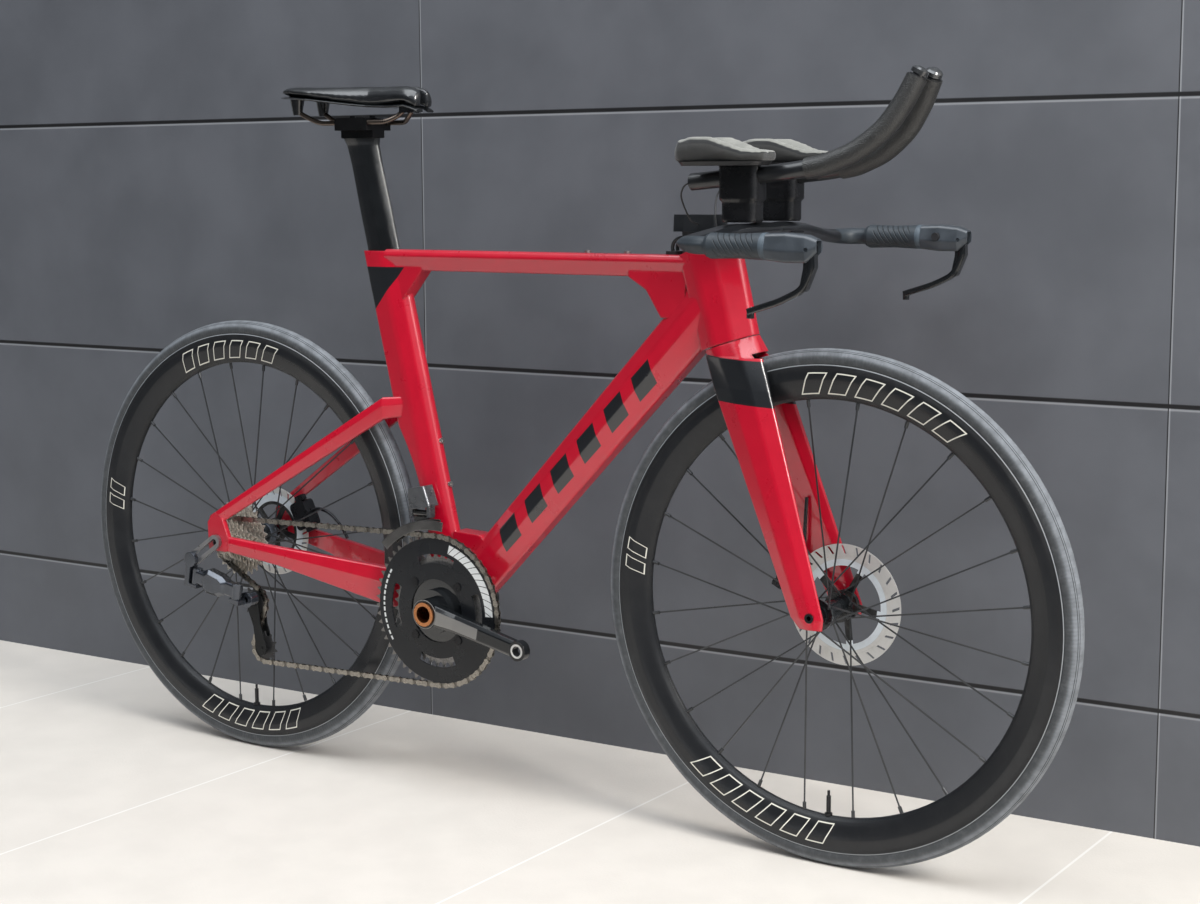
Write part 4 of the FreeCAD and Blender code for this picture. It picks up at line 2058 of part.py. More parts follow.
def rd_lower_knuckle():
    """The lower knuckle hangs on the arm's end and carries the cage's axle."""
    barrel, deep, gap = num("arm_barrel") / 2, num("arm_body_depth"), num("running_gap")
    low = arm_y - deep / 2
    drum_high = cage_outer_y - num("cage_boss") - gap
    drum_low = arm_y + deep / 2 + 2.2
    drum = rod("lower_drum", get("knuckle_radius"), drum_high - drum_low,
               (cage_pivot.x, drum_low, cage_pivot.z), LEFTWARD)
    corner = arm_end - arm_run * 9 - arm_up * (barrel + gap + 7) + Vector(0, low, 0)
    foot = feature("lower_foot", aligned(20, drum_low + 6 - low, 7, corner))
    pin = rod("lower_pin", get("pin_radius"), 2 * barrel + 2,
              arm_end - arm_up * (barrel + 2) + Vector(0, arm_y, 0), along(arm_up))
    bore = rod("lower_bore", get("cage_axle_radius") + get("fit_gap"), 60,
               (cage_pivot.x, drum_high - 16, cage_pivot.z), LEFTWARD)
    return cut("rd_lower_knuckle", fuse("lower_blank", [foot, drum, pin]), [bore])


def rd_cage():
    """Two side plates with the cage's axle and the pulleys' pins."""
    sides = []
    plate_thick = num("cage_plate")
    for name, y in (("outer", cage_outer_y), ("inner", cage_inner_y)):
        upper = beam(guide_spot, guide_spot + (tension_spot - guide_spot) * 0.5, 26, 15, y,
                     y + plate_thick, 0.4)
        lower = beam(guide_spot + (tension_spot - guide_spot) * 0.5, tension_spot, 15, 22, y,
                     y + plate_thick, 0.4)
        ends = [Part.makeCylinder(reach, plate_thick, spot + Vector(0, y, 0), Vector(0, 1, 0))
                for spot, reach in ((guide_spot, 13), (tension_spot, 11))]
        sides.append(feature(f"cage_{name}", upper.multiFuse([lower] + ends)))
    boss_low = cage_outer_y - num("cage_boss")
    boss = rod("cage_boss", num("knuckle_radius") - 2, get("cage_boss") + 0.5,
               (cage_pivot.x, boss_low, cage_pivot.z), LEFTWARD)
    cage_axle = rod("cage_axle", get("cage_axle_radius"), 15,
                    (cage_pivot.x, boss_low - 14, cage_pivot.z), LEFTWARD)
    long = num("cage_gap") + 2 * plate_thick + 1.6
    axles = [rod(f"pulley_pin_{index}", get("pin_radius"), long, (spot.x, cage_outer_y - 0.8, spot.z),
                 LEFTWARD)
             for index, spot in enumerate((guide_spot, tension_spot))]
    return fuse("rd_cage", sides + [boss, cage_axle] + axles)


def pulley(name, spot, reach):
    bore = num("pin_radius") + num("fit_gap")
    disc = sprocket(pulley_teeth, phase_at(spot, reach), num("pulley_thickness"), bore, spot, chain_y)
    width = num("cage_gap") - 2 * num("running_gap")
    sleeve = Part.makeCylinder(bore + 3, width, spot + Vector(0, chain_y - width / 2, 0), Vector(0, 1, 0))
    hole = Part.makeCylinder(bore, width + 2, spot + Vector(0, chain_y - width / 2 - 1, 0),
                             Vector(0, 1, 0))
    return feature(name, disc.fuse(sleeve).cut(hole))


# Front derailleur
fd_pivot = Vector(bracket.x - 34, chain_y + num("fd_pivot_inboard"), bracket.z + num("fd_pivot_height"))


def front_derailleur():
    """Body on the seat tube's side with two cheeks and the cage's pin."""
    wall = -num("seat_tube_width") / 2 - num("running_gap")
    out = fd_pivot.y - 8
    half = num("fd_barrel") / 2
    low = fd_pivot.z + num("fd_barrel_radius") + 3
    body = feature("fd_body", beam(Vector(fd_pivot.x, 0, low), Vector(fd_pivot.x - 6, 0, low + 30),
                                   2 * half + 14, 30, out, wall, 4))
    cheeks = [block(f"fd_cheek_{side}", (6, 12, low - fd_pivot.z + 12),
                    (fd_pivot.x + side * (half + 3 + num("running_gap")) - 3, fd_pivot.y - 6,
                     fd_pivot.z - 5)) for side in (-1, 1)]
    pin = rod("fd_pin", get("pin_radius") * 0.8, 2 * half + 12,
              (fd_pivot.x - half - 6, fd_pivot.y, fd_pivot.z), along((1, 0, 0)))
    return fuse("front_derailleur", [body, pin] + cheeks)


def fd_cage():
    """Two curved plates either side of the chain, joined by a bridge and hung on the barrel."""
    low, high = num("fd_cage_low"), num("fd_cage_low") + num("fd_cage_tall")

    def band(inner, outer, start, end, y, thick):
        edges = []
        spots = []
        for reach, order in ((outer, (start, (start + end) / 2, end)),
                             (inner, (end, (start + end) / 2, start))):
            spots.append([bracket + Vector(reach * math.cos(math.radians(a)), y,
                                           reach * math.sin(math.radians(a))) for a in order])
        edges = [Part.Arc(*spots[0]).toShape(), Part.LineSegment(spots[0][2], spots[1][0]).toShape(),
                 Part.Arc(*spots[1]).toShape(), Part.LineSegment(spots[1][2], spots[0][0]).toShape()]
        return Part.Face(Part.Wire(edges)).extrude(Vector(0, thick, 0))

    thick = num("fd_plate")
    outer_y, inner_y = chain_y - num("fd_gap") / 2 - thick, chain_y + num("fd_gap") / 2
    parts = [feature("fd_plate_outer", band(low, high, 82, 136, outer_y, thick)),
             feature("fd_plate_inner", band(low, high, 88, 130, inner_y, thick)),
             feature("fd_bridge", band(high - 3, high, 96, 112, outer_y, fd_pivot.y + 2 - outer_y))]
    half = num("fd_barrel") / 2
    barrel = rod("fd_barrel", get("fd_barrel_radius"), get("fd_barrel"),
                 (fd_pivot.x - half, fd_pivot.y, fd_pivot.z), along((1, 0, 0)))
    foot = bracket.z + math.sqrt((high - 2) ** 2 - 34 ** 2)
    web_low = block("fd_web", (get("fd_barrel"), 4, fd_pivot.z - foot),
                    (fd_pivot.x - half, fd_pivot.y - 2, foot))
    bore = rod("fd_barrel_bore", get("pin_radius") * 0.8 + get("fit_gap"), get("fd_barrel") + 4,
               (fd_pivot.x - half - 2, fd_pivot.y, fd_pivot.z), along((1, 0, 0)))
    return cut("fd_cage", fuse("fd_cage_blank", parts + [barrel, web_low]), [bore])


# Brake hoses that show at the calipers
FRONT_CALIPER_HEADING = Vector(-0.89, 0, 0.45).normalize()
REAR_CALIPER_HEADING = Vector(0.9, 0, 0.44).normalize()


def front_hose():
    """From the caliper's upper end to the inner side of the left blade."""
    out = FRONT_CALIPER_HEADING
    across = Vector(0, 1, 0).cross(out)
    start = front_axle + out * num("front_caliper_reach") + across * (num("caliper_length") / 2 + 0.4)
    start.y = num("front_rotor_side") + 1
    points = [start, start + across * 10 - Vector(0, 1, 0), start + Vector(6, -3.5, 30),
              start + Vector(9, -7, 56),
              start + Vector(11, -7.8, 80)]
    return feature("front_brake_hose", tube([tuple(point) for point in points], num("hose_radius")))


def rear_hose():
    """From the caliper's front in a bow to the top of the left chainstay."""
    out = REAR_CALIPER_HEADING
    start = rear_axle + out * (num("rear_caliper_reach") + num("caliper_depth") / 2 + 0.4)
    start.y = num("rear_rotor_side")
    points = [start, start + Vector(15, 0, 6), start + Vector(39, 0, 0), start + Vector(61, -0.5, -18),
              start + Vector(73, -0.5, -36)]
    return feature("rear_brake_hose", tube([tuple(point) for point in points], num("hose_radius")))


def front_wheel():
    left, right = get("front_flange_left"), get("front_flange_right")
    flange = get("front_flange_radius")
    return [tyre("front_tyre", front_axle_x), rim("front_rim", front_axle_x),
            valve("front_valve", front_axle_x),
            spokes("front_spokes", front_axle_x, flange.value, left.value, right.value),
            hub("front_hub", front_axle_x, get("front_dropout_gap"), get("front_hub_radius"), flange,
                left, right, 0),
            rotor("front_rotor", front_axle_x, get("front_rotor_radius"), get("front_rotor_side"))]


def rear_wheel():
    left, right = get("rear_flange_left"), get("rear_flange_right")
    flange = get("rear_flange_radius")
    shorter = get("rear_dropout_gap") / 2 - get("fit_gap") + hub_shoulder
    return [tyre("rear_tyre", rear_axle_x), rim("rear_rim", rear_axle_x),
            valve("rear_valve", rear_axle_x),
            spokes("rear_spokes", rear_axle_x, flange.value, left.value, right.value),
            hub("rear_hub", rear_axle_x, get("rear_dropout_gap"), get("rear_hub_radius"), flange, left,
                right, shorter - 1),
            rotor("rear_rotor", rear_axle_x, get("rear_rotor_radius"), get("rear_rotor_side"))]


def all_pieces():
    """Every named piece of the bike, in the order of its bodies."""
    reach = pitch_radius(pulley_teeth)
    pieces = [frame_piece(), boss_bolts(), group("frame_bearings", headset_bearings() + bracket_cups()),
              frame_hoses(),
              derailleur_hanger(), rd_knuckle(), front_derailleur(), chain(),
              axle("rear_axle", rear_axle_x, get("rear_dropout_gap"), get("dropout_depth")),
              caliper("rear_caliper", rear_axle_x, get("rear_rotor_radius"), get("rear_rotor_side"),
                      REAR_CALIPER_HEADING, num("rear_caliper_reach"), (-11, -2),
                      rear_hose()),
              seat_post(), saddle_clamp(), saddle_rails(), saddle_shell(), saddle_pad(), fork_piece(),
              axle("front_axle", front_axle_x, get("front_dropout_gap"), get("leg_thickness_bottom")),
              caliper("front_caliper", front_axle_x, get("front_rotor_radius"), get("front_rotor_side"),
                      FRONT_CALIPER_HEADING, num("front_caliper_reach"), (-11, -2),
                      front_hose()),
              base_bar(), stem_cover(), bar_grips(), lever_mounts(), risers(), extension_bars(),
              extension_grips(),
              arm_cradles(), arm_pads(), control_wires()]
    for hand, side in (("right", -1), ("left", 1)):
        pieces += [brake_lever(f"brake_lever_{hand}", side), hood_button(f"hood_button_{hand}", side),
                   shift_button(f"shift_button_{hand}", side)]
    pieces += front_wheel() + rear_wheel() + [cassette()]
    pieces += [crank_spindle(), crank_arm("crank_arm_right", -1, arm_angle, 0),
               crank_arm("crank_arm_left", 1, arm_angle + math.pi, 9.5), crank_spider(),
               chainring_outer(),
               chainring_inner(), chainring_bolts()]
    pieces += [rd_arm(), rd_lower_knuckle(), rd_cage(), pulley("guide_pulley", guide_spot, reach),
               pulley("tension_pulley", tension_spot, reach), fd_cage()]
    return pieces


# Build, check and write
pieces = all_pieces()
doc.recompute()
for item in doc.Objects:
    if "Invalid" in item.State or "Error" in item.State:
        raise RuntimeError(f"{item.Name} did not build: {item.State}")
for piece in pieces:
    if piece.Shape.isNull() or not piece.Shape.isValid() or not piece.Shape.Solids:
        raise RuntimeError(f"{piece.Label} is not a sound solid")
os.makedirs("parts", exist_ok=True)
for piece in pieces:
    piece.Shape.exportStep(f"parts/{piece.Label}.step")
    print(piece.Label, len(piece.Shape.Solids), round(piece.Shape.Volume))
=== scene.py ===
"""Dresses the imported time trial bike: finishes for its solids, soft pads, and the stage around it."""

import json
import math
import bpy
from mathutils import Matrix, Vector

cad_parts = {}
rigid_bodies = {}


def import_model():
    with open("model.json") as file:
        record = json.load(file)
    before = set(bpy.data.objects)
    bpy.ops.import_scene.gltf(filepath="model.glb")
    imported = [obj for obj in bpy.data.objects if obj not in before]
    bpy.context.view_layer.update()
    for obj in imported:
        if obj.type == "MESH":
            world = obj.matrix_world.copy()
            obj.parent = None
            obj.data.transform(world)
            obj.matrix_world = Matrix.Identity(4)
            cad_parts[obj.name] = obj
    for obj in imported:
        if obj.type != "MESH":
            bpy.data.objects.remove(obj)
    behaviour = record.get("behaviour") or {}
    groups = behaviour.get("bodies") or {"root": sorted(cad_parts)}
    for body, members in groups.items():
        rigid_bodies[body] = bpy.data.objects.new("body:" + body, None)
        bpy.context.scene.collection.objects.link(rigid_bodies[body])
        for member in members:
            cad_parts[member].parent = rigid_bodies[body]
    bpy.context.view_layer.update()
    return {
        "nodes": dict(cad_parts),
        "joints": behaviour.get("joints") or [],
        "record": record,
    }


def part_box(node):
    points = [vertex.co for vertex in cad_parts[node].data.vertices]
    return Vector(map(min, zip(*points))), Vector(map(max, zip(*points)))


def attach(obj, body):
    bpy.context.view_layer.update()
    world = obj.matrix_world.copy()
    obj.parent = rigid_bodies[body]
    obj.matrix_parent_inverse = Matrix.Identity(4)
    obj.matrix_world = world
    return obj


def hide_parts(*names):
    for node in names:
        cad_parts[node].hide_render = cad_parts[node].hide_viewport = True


bl_info = {
    "name": "Time Trial Bike Dressing",
    "version": (1, 0, 0),
    "blender": (4, 5, 0),
    "location": "View3D > Sidebar > Bike",
    "description": "Finishes, soft pads and stage for a time trial bike",
    "category": "Object",
}

import bpy
from bpy.props import FloatProperty, FloatVectorProperty, IntProperty, PointerProperty
from mathutils import Matrix, Vector

bpy.ops.object.select_all(action="SELECT")
bpy.ops.object.delete()
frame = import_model()
bike = frame["nodes"]

# Places of the wheels and the crank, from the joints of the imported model
JOINTS = {joint["name"]: joint for joint in frame["joints"]}
FRONT_AXLE = Vector(JOINTS["front_wheel_spin"]["pos_m"])
REAR_AXLE = Vector(JOINTS["rear_wheel_spin"]["pos_m"])
BRACKET = Vector(JOINTS["crank_spin"]["pos_m"])


def colour(label, words, shade):
    """A colour that the user can change in the sidebar."""
    return FloatVectorProperty(name=label, description=words, subtype="COLOR", size=3, min=0, max=1,
                               default=shade)


def length(label, words, size):
    """A length that the user can change in the sidebar."""
    return FloatProperty(name=label, description=words, subtype="DISTANCE", unit="LENGTH", min=0,
                         default=size)


class BikeColours(bpy.types.PropertyGroup):
    """Colours of the bike's finishes"""

    red_paint: colour("Red paint", "Gloss paint of the frame and the fork", (0.50, 0.002, 0.020))
    panel_black: colour("Panel black", "Black bands on the fork and the seat tube", (0.008, 0.009, 0.011))
    satin_black: colour("Satin black", "Rims, base bar and extensions", (0.009, 0.010, 0.012))
    gloss_black: colour("Gloss black", "Seat post, crank arms and levers", (0.006, 0.007, 0.008))
    # Tread colour: dust, and also painted light standing in for sun on the running surface
    tread_dust_and_light: colour("Tread grey", "Dusty running surface of the tyres", (0.205, 0.220, 0.240))
    wall_rubber: colour("Side wall rubber", "Side walls of the tyres", (0.052, 0.056, 0.060))
    grip_grey: colour("Grip grey", "Rubber grips of the base bar", (0.026, 0.034, 0.042))
    hood_grey: colour("Hood grey", "Lever mounts at the bar ends", (0.040, 0.048, 0.058))
    pad_dark: colour("Pad sides", "Sides of the arm pads", (0.026, 0.026, 0.025))
    pad_pale: colour("Pad top", "Worn upper face of the arm pads", (0.245, 0.245, 0.222))
    saddle_black: colour("Saddle cover", "Cover of the saddle", (0.008, 0.009, 0.010))
    bare_steel: colour("Bare steel", "Rotors, bolts and the pedal thread's ring", (0.60, 0.59, 0.57))
    warm_steel: colour("Warm steel", "Chain and sprockets", (0.50, 0.465, 0.41))
    copper: colour("Copper", "Ring at the crank's middle", (0.62, 0.26, 0.11))
    accent_orange: colour("Accent orange", "Ring on the front hub", (0.80, 0.14, 0.02))
    mech_grey: colour("Mechanism grey", "Rear derailleur and the rear hub's ring", (0.064, 0.072, 0.088))
    print_cream: colour("Print cream", "Thin outlines printed on the rims", (0.72, 0.70, 0.62))
    mark_white: colour("Mark white", "Plain blocks printed on the chainring", (0.66, 0.67, 0.66))
    wall_panel: colour("Wall panel", "Dark panels of the wall behind", (0.104, 0.109, 0.123))
    floor_road: colour("Road", "Dark ground that gloss mirrors", (0.085, 0.085, 0.088))
    floor_stone: colour("Floor", "Pale floor", (0.655, 0.610, 0.556))


class BikeSizes(bpy.types.PropertyGroup):
    """Sizes of the soft pieces"""

    pad_voxel: length("Pad voxel", "Grid on which the arm pads are filled", 0.0035)
    saddle_voxel: length("Saddle voxel", "Grid on which the saddle pad is filled", 0.0040)
    pad_swell: length("Pad swell", "Most that the filling moves an arm pad's cover", 0.0018)
    saddle_swell: length("Saddle swell", "Most that the filling moves the saddle's cover", 0.0020)
    cloth_steps: IntProperty(name="Cloth steps", description="Steps of the filling simulation", min=1,
                             default=16)


class BikeStage(bpy.types.PropertyGroup):
    """Camera, wall and floor"""

    camera_place: FloatVectorProperty(name="Camera place", description="Where the camera stands",
                                      subtype="XYZ", unit="LENGTH", default=(1.6515, -2.2220, 0.8821))
    camera_turn: FloatProperty(name="Camera turn", description="Turn of the camera round the bike",
                               subtype="ANGLE", default=math.radians(34.03))
    camera_drop: FloatProperty(name="Camera drop", description="How far the camera looks down",
                               subtype="ANGLE", default=math.radians(7.80))
    camera_roll: FloatProperty(name="Camera roll", description="Lean of the camera",
                               subtype="ANGLE", default=math.radians(-0.316))
    camera_lens: FloatProperty(name="Lens", description="Focal length in millimetres", default=59.39, min=1)
    wall_gap: length("Wall gap", "From the bike's middle plane to the wall", 0.299)
    wall_turn: FloatProperty(name="Wall turn", description="Turn of the wall against the bike",
                             subtype="ANGLE", default=math.radians(1.757))
    wall_width: length("Wall width", "Width of the wall", 12.0)
    wall_height: length("Wall height", "Height of the wall", 4.0)
    floor_size: length("Floor size", "Side of the floor", 40.0)


# Shader building


def feed(tree, socket, value):
    """Link a socket into another, or set its plain value."""
    if isinstance(value, bpy.types.NodeSocket):
        tree.links.new(value, socket)
    elif hasattr(socket.default_value, "__len__") and len(socket.default_value) == 4 and len(value) == 3:
        socket.default_value = (*value, 1.0)
    else:
        socket.default_value = value


def add(tree, kind, sockets=None, **settings):
    """A node with its settings and its inputs."""
    made = tree.nodes.new(kind)
    for key, value in settings.items():
        setattr(made, key, value)
    for key, value in (sockets or {}).items():
        feed(tree, made.inputs[key], value)
    return made


def calc(tree, operation, first, second=0.0, third=0.0):
    """One step of arithmetic on values."""
    return add(tree, "ShaderNodeMath", {0: first, 1: second, 2: third}, operation=operation).outputs[0]


def step(tree, value, low, high):
    """Rises smoothly from 0 at low to 1 at high."""
    sockets = {"Value": value, "From Min": low, "From Max": high, "To Min": 0.0, "To Max": 1.0}
    return add(tree, "ShaderNodeMapRange", sockets, interpolation_type="SMOOTHSTEP", clamp=True).outputs[0]


def scaled(tree, value, low, high):
    """Spreads a 0 to 1 value over another range."""
    sockets = {"Value": value, "From Min": 0.0, "From Max": 1.0, "To Min": low, "To Max": high}
    return add(tree, "ShaderNodeMapRange", sockets, clamp=True).outputs[0]


def mixed(tree, share, low, high):
    """Colour between two others."""
    made = add(tree, "ShaderNodeMix", data_type="RGBA")
    feed(tree, made.inputs[0], share)
    feed(tree, made.inputs[6], low)
    feed(tree, made.inputs[7], high)
    return made.outputs[2]


def band(tree, value, low, high, soft):
    """1 between low and high, with soft edges."""
    rise = step(tree, value, low - soft, low + soft)
    fall = step(tree, value, high - soft, high + soft)
    return calc(tree, "SUBTRACT", rise, fall)


def places(tree):
    """The three Object coordinates of a point on the piece."""
    where = add(tree, "ShaderNodeTexCoord").outputs["Object"]
    split = add(tree, "ShaderNodeSeparateXYZ", {0: where})
    return split.outputs[0], split.outputs[1], split.outputs[2]


def new_group(name, inputs, outputs):
    """An empty shader node group with named sockets."""
    group = bpy.data.node_groups.new(name, "ShaderNodeTree")
    for label, kind in inputs:
        group.interface.new_socket(name=label, in_out="INPUT", socket_type=kind)
    for label, kind in outputs:
        group.interface.new_socket(name=label, in_out="OUTPUT", socket_type=kind)
    return group, group.nodes.new("NodeGroupInput").outputs, group.nodes.new("NodeGroupOutput").inputs


def grain_group():
    """Slow mottling and fine grain of a moulded or coated surface."""
    group, given, put = new_group("Fine Grain", [("Scale", "NodeSocketFloat")],
                                  [("Mottle", "NodeSocketFloat"), ("Grain", "NodeSocketFloat")])
    where = add(group, "ShaderNodeTexCoord").outputs["Object"]
    slow = add(group, "ShaderNodeTexNoise", {"Vector": where, "Detail": 4.0, "Roughness": 0.6})
    feed(group, slow.inputs["Scale"], calc(group, "MULTIPLY", given["Scale"], 0.04))
    fine = add(group, "ShaderNodeTexNoise", {"Vector": where, "Scale": given["Scale"], "Detail": 5.0})
    feed(group, put["Mottle"], step(group, slow.outputs[0], 0.3, 0.7))
    feed(group, put["Grain"], fine.outputs[0])
    return group


def dust_group():
    """Patches of settled dust or handling marks over a colour."""
    group, given, put = new_group(
        "Settled Dust",
        [("Color", "NodeSocketColor"), ("Dust", "NodeSocketColor"), ("Amount", "NodeSocketFloat"),
         ("Scale", "NodeSocketFloat")],
        [("Color", "NodeSocketColor")])
    where = add(group, "ShaderNodeTexCoord").outputs["Object"]
    cloud = add(group, "ShaderNodeTexNoise", {"Vector": where, "Scale": given["Scale"], "Detail": 7.0,
                                              "Roughness": 0.68})
    mask = calc(group, "MULTIPLY", step(group, cloud.outputs[0], 0.42, 0.74), given["Amount"])
    feed(group, put["Color"], mixed(group, mask, given["Color"], given["Dust"]))
    return group


def wheel_group():
    """Radius, angle and place across, counted from a turning piece's middle."""
    group, given, put = new_group(
        "Wheel Places", [("Centre", "NodeSocketVector")],
        [("Radius", "NodeSocketFloat"), ("Angle", "NodeSocketFloat"), ("Across", "NodeSocketFloat")])
    where = add(group, "ShaderNodeTexCoord").outputs["Object"]
    off = add(group, "ShaderNodeVectorMath", {0: where, 1: given["Centre"]}, operation="SUBTRACT")
    split = add(group, "ShaderNodeSeparateXYZ", {0: off.outputs[0]})
    ahead, across, high = split.outputs
    squares = calc(group, "ADD", calc(group, "MULTIPLY", ahead, ahead), calc(group, "MULTIPLY", high, high))
    feed(group, put["Radius"], calc(group, "SQRT", squares))
    feed(group, put["Angle"], calc(group, "ARCTAN2", high, ahead))
    feed(group, put["Across"], across)
    return group


GROUPS = {}


def effect(tree, name, sockets):
    """A shared effect placed in a material with its own values."""
    makers = {"grain": grain_group, "dust": dust_group, "wheel": wheel_group}
    if name not in GROUPS:
        GROUPS[name] = makers[name]()
    return add(tree, "ShaderNodeGroup", sockets, node_tree=GROUPS[name]).outputs


def new_finish(name, **sockets):
    """A material with a Principled shader whose plain sockets are set."""
    made = bpy.data.materials.new(name)
    made.use_nodes = True
    tree = made.node_tree
    shader = tree.nodes["Principled BSDF"]
    for label, value in sockets.items():
        feed(tree, shader.inputs[label.replace("_", " ").title().replace("Ior", "IOR")], value)
    return made, tree, shader.inputs


def bumped(tree, height, strength, distance):
    """A normal that follows a height."""
    sockets = {"Height": height, "Strength": strength, "Distance": distance}
    return add(tree, "ShaderNodeBump", sockets).outputs[0]


def softened(tree, radius):
    """A normal that rounds the edges of a solid."""
    return add(tree, "ShaderNodeBevel", {"Radius": radius}, samples=4).outputs[0]


def uneven(tree, shader, scale, low, high):
    """The grain of a surface, whose roughness follows the mottling."""
    texture = effect(tree, "grain", {"Scale": scale})
    feed(tree, shader["Roughness"], scaled(tree, texture["Mottle"], low, high))
    return texture


COAT_GRAIN = 900.0
DUST_GREY = (0.14, 0.14, 0.14)
DUST_SCALE = 45.0


def tinted(shade, share):
    """A colour made darker or lighter."""
    return tuple(part * share for part in shade)


def coated(name, shade, rough, dusty=0.03, grain=0.05, edge=0, **sockets):
    """A moulded or anodised surface: mottled, unevenly rough, grained or softly edged, a little dusty."""
    made, tree, shader = new_finish(name, **sockets)
    texture = uneven(tree, shader, COAT_GRAIN, rough * 0.85, min(1.0, rough * 1.18))
    lighter = tuple(min(1.0, part * 1.15) for part in shade)
    cover = mixed(tree, texture["Mottle"], tinted(shade, 0.82), lighter)
    sprinkled = {"Color": cover, "Dust": DUST_GREY, "Amount": dusty, "Scale": DUST_SCALE}
    feed(tree, shader["Base Color"], effect(tree, "dust", sprinkled)["Color"])
    if edge:
        feed(tree, shader["Normal"], softened(tree, edge))
    elif grain:
        feed(tree, shader["Normal"], bumped(tree, texture["Grain"], grain, 0.0006))
    return made


def dress(material, *names):
    """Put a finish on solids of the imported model."""
    for name in names:
        piece = bike[name]
        piece.data.materials.clear()
        piece.data.materials.append(material)


# Painted frame and fork


def painted(name, colours, panel):
    """Gloss red paint with a black panel where the mask is 1."""
    made, tree, shader = new_finish(name, coat_weight=1.0, coat_roughness=0.04, ior=1.5)
    texture = uneven(tree, shader, 700.0, 0.27, 0.32)
    red = tuple(colours.red_paint)
    paint = mixed(tree, texture["Mottle"], tinted(red, 0.94), red)
    feed(tree, shader["Base Color"], mixed(tree, panel(tree), paint, tuple(colours.panel_black)))
    feed(tree, shader["Normal"], softened(tree, EDGE_SOFTNESS))
    return made


EDGE_SOFTNESS = 0.0035
PANEL_TOP = 0.7605
PANEL_CORNER = (-0.1795, 0.7596)
PANEL_SLOPE = 1.16
PANEL_REAR = -0.27
BAND_AHEAD = 0.345
BAND_TOP = 0.6574
BAND_FOOT = 0.6010
BAND_SLOPE = -0.07
PAINT_EDGE = 0.0004
BARS_START = (-0.010, 0.371)
BARS_WAY = (0.704, 0.710)
BARS_LENGTH = 0.381
BARS_COUNT = 6
BARS_HALF = 0.0155
BARS_SLANT = 7.0
BARS_INSET = 0.0150


def seat_panel(tree):
    """Mask of the black panel behind the seat tube's top."""
    ahead, _, high = places(tree)
    line = calc(tree, "MULTIPLY_ADD", ahead, -PANEL_SLOPE, PANEL_CORNER[0] * PANEL_SLOPE - PANEL_CORNER[1])
    over = step(tree, calc(tree, "ADD", high, line), -PAINT_EDGE, PAINT_EDGE)
    under = step(tree, high, PANEL_TOP + PAINT_EDGE, PANEL_TOP - PAINT_EDGE)
    near = step(tree, ahead, PANEL_REAR - PAINT_EDGE, PANEL_REAR + PAINT_EDGE)
    return calc(tree, "MULTIPLY", calc(tree, "MULTIPLY", over, under), near)


def down_bars(tree):
    """Mask of a row of plain slanted bars along both sides of the down tube."""
    ahead, aside, high = places(tree)
    far = calc(tree, "SUBTRACT", ahead, BARS_START[0])
    up = calc(tree, "SUBTRACT", high, BARS_START[1])
    along = calc(tree, "MULTIPLY_ADD", far, BARS_WAY[0], calc(tree, "MULTIPLY", up, BARS_WAY[1]))
    across = calc(tree, "MULTIPLY_ADD", up, BARS_WAY[0], calc(tree, "MULTIPLY", far, -BARS_WAY[1]))
    turns = calc(tree, "MULTIPLY", along, BARS_COUNT / BARS_LENGTH)
    cells = calc(tree, "MULTIPLY_ADD", across, -BARS_SLANT, turns)
    bars = band(tree, calc(tree, "FRACT", cells), 0.20, 0.80, 0.004)
    row = calc(tree, "MULTIPLY", band(tree, along, 0, BARS_LENGTH, PAINT_EDGE),
               band(tree, across, -BARS_HALF, BARS_HALF, PAINT_EDGE))
    sides = step(tree, calc(tree, "ABSOLUTE", aside), BARS_INSET - PAINT_EDGE, BARS_INSET + PAINT_EDGE)
    return calc(tree, "MULTIPLY", calc(tree, "MULTIPLY", bars, row), sides)


def frame_marks(tree):
    """Every black place on the frame."""
    return calc(tree, "MAXIMUM", seat_panel(tree), down_bars(tree))


def fork_band(tree):
    """Mask of the black band on the fork's legs."""
    ahead, _, high = places(tree)
    fall = calc(tree, "MULTIPLY_ADD", ahead, BAND_SLOPE, -BAND_AHEAD * BAND_SLOPE)
    return band(tree, calc(tree, "SUBTRACT", high, fall), BAND_FOOT, BAND_TOP, PAINT_EDGE)


class BIKE_OT_painted_frame(bpy.types.Operator):
    """Paint the frame and the fork, with the pieces fixed to them"""

    bl_idname = "bike.painted_frame"
    bl_label = "Painted frame and fork"

    def execute(self, context):
        colours = context.scene.bike_colours
        dress(painted("frame_paint", colours, frame_marks), "frame")
        dress(painted("fork_paint", colours, fork_band), "fork")
        steel = coated("bolt_steel", tuple(colours.bare_steel), 0.3, metallic=1.0)
        dress(steel, "boss_bolts")
        anodised = coated("black_anodised", tuple(colours.satin_black), 0.36, metallic=0.6)
        dress(anodised, "frame_bearings", "rear_axle", "front_axle")
        dress(coated("hanger_grey", (0.30, 0.30, 0.31), 0.3, metallic=0.9), "derailleur_hanger")
        rubber = coated("hose_rubber", (0.018, 0.018, 0.019), 0.5)
        dress(rubber, "frame_hoses", "control_wires")
        return {"FINISHED"}


# Wheels

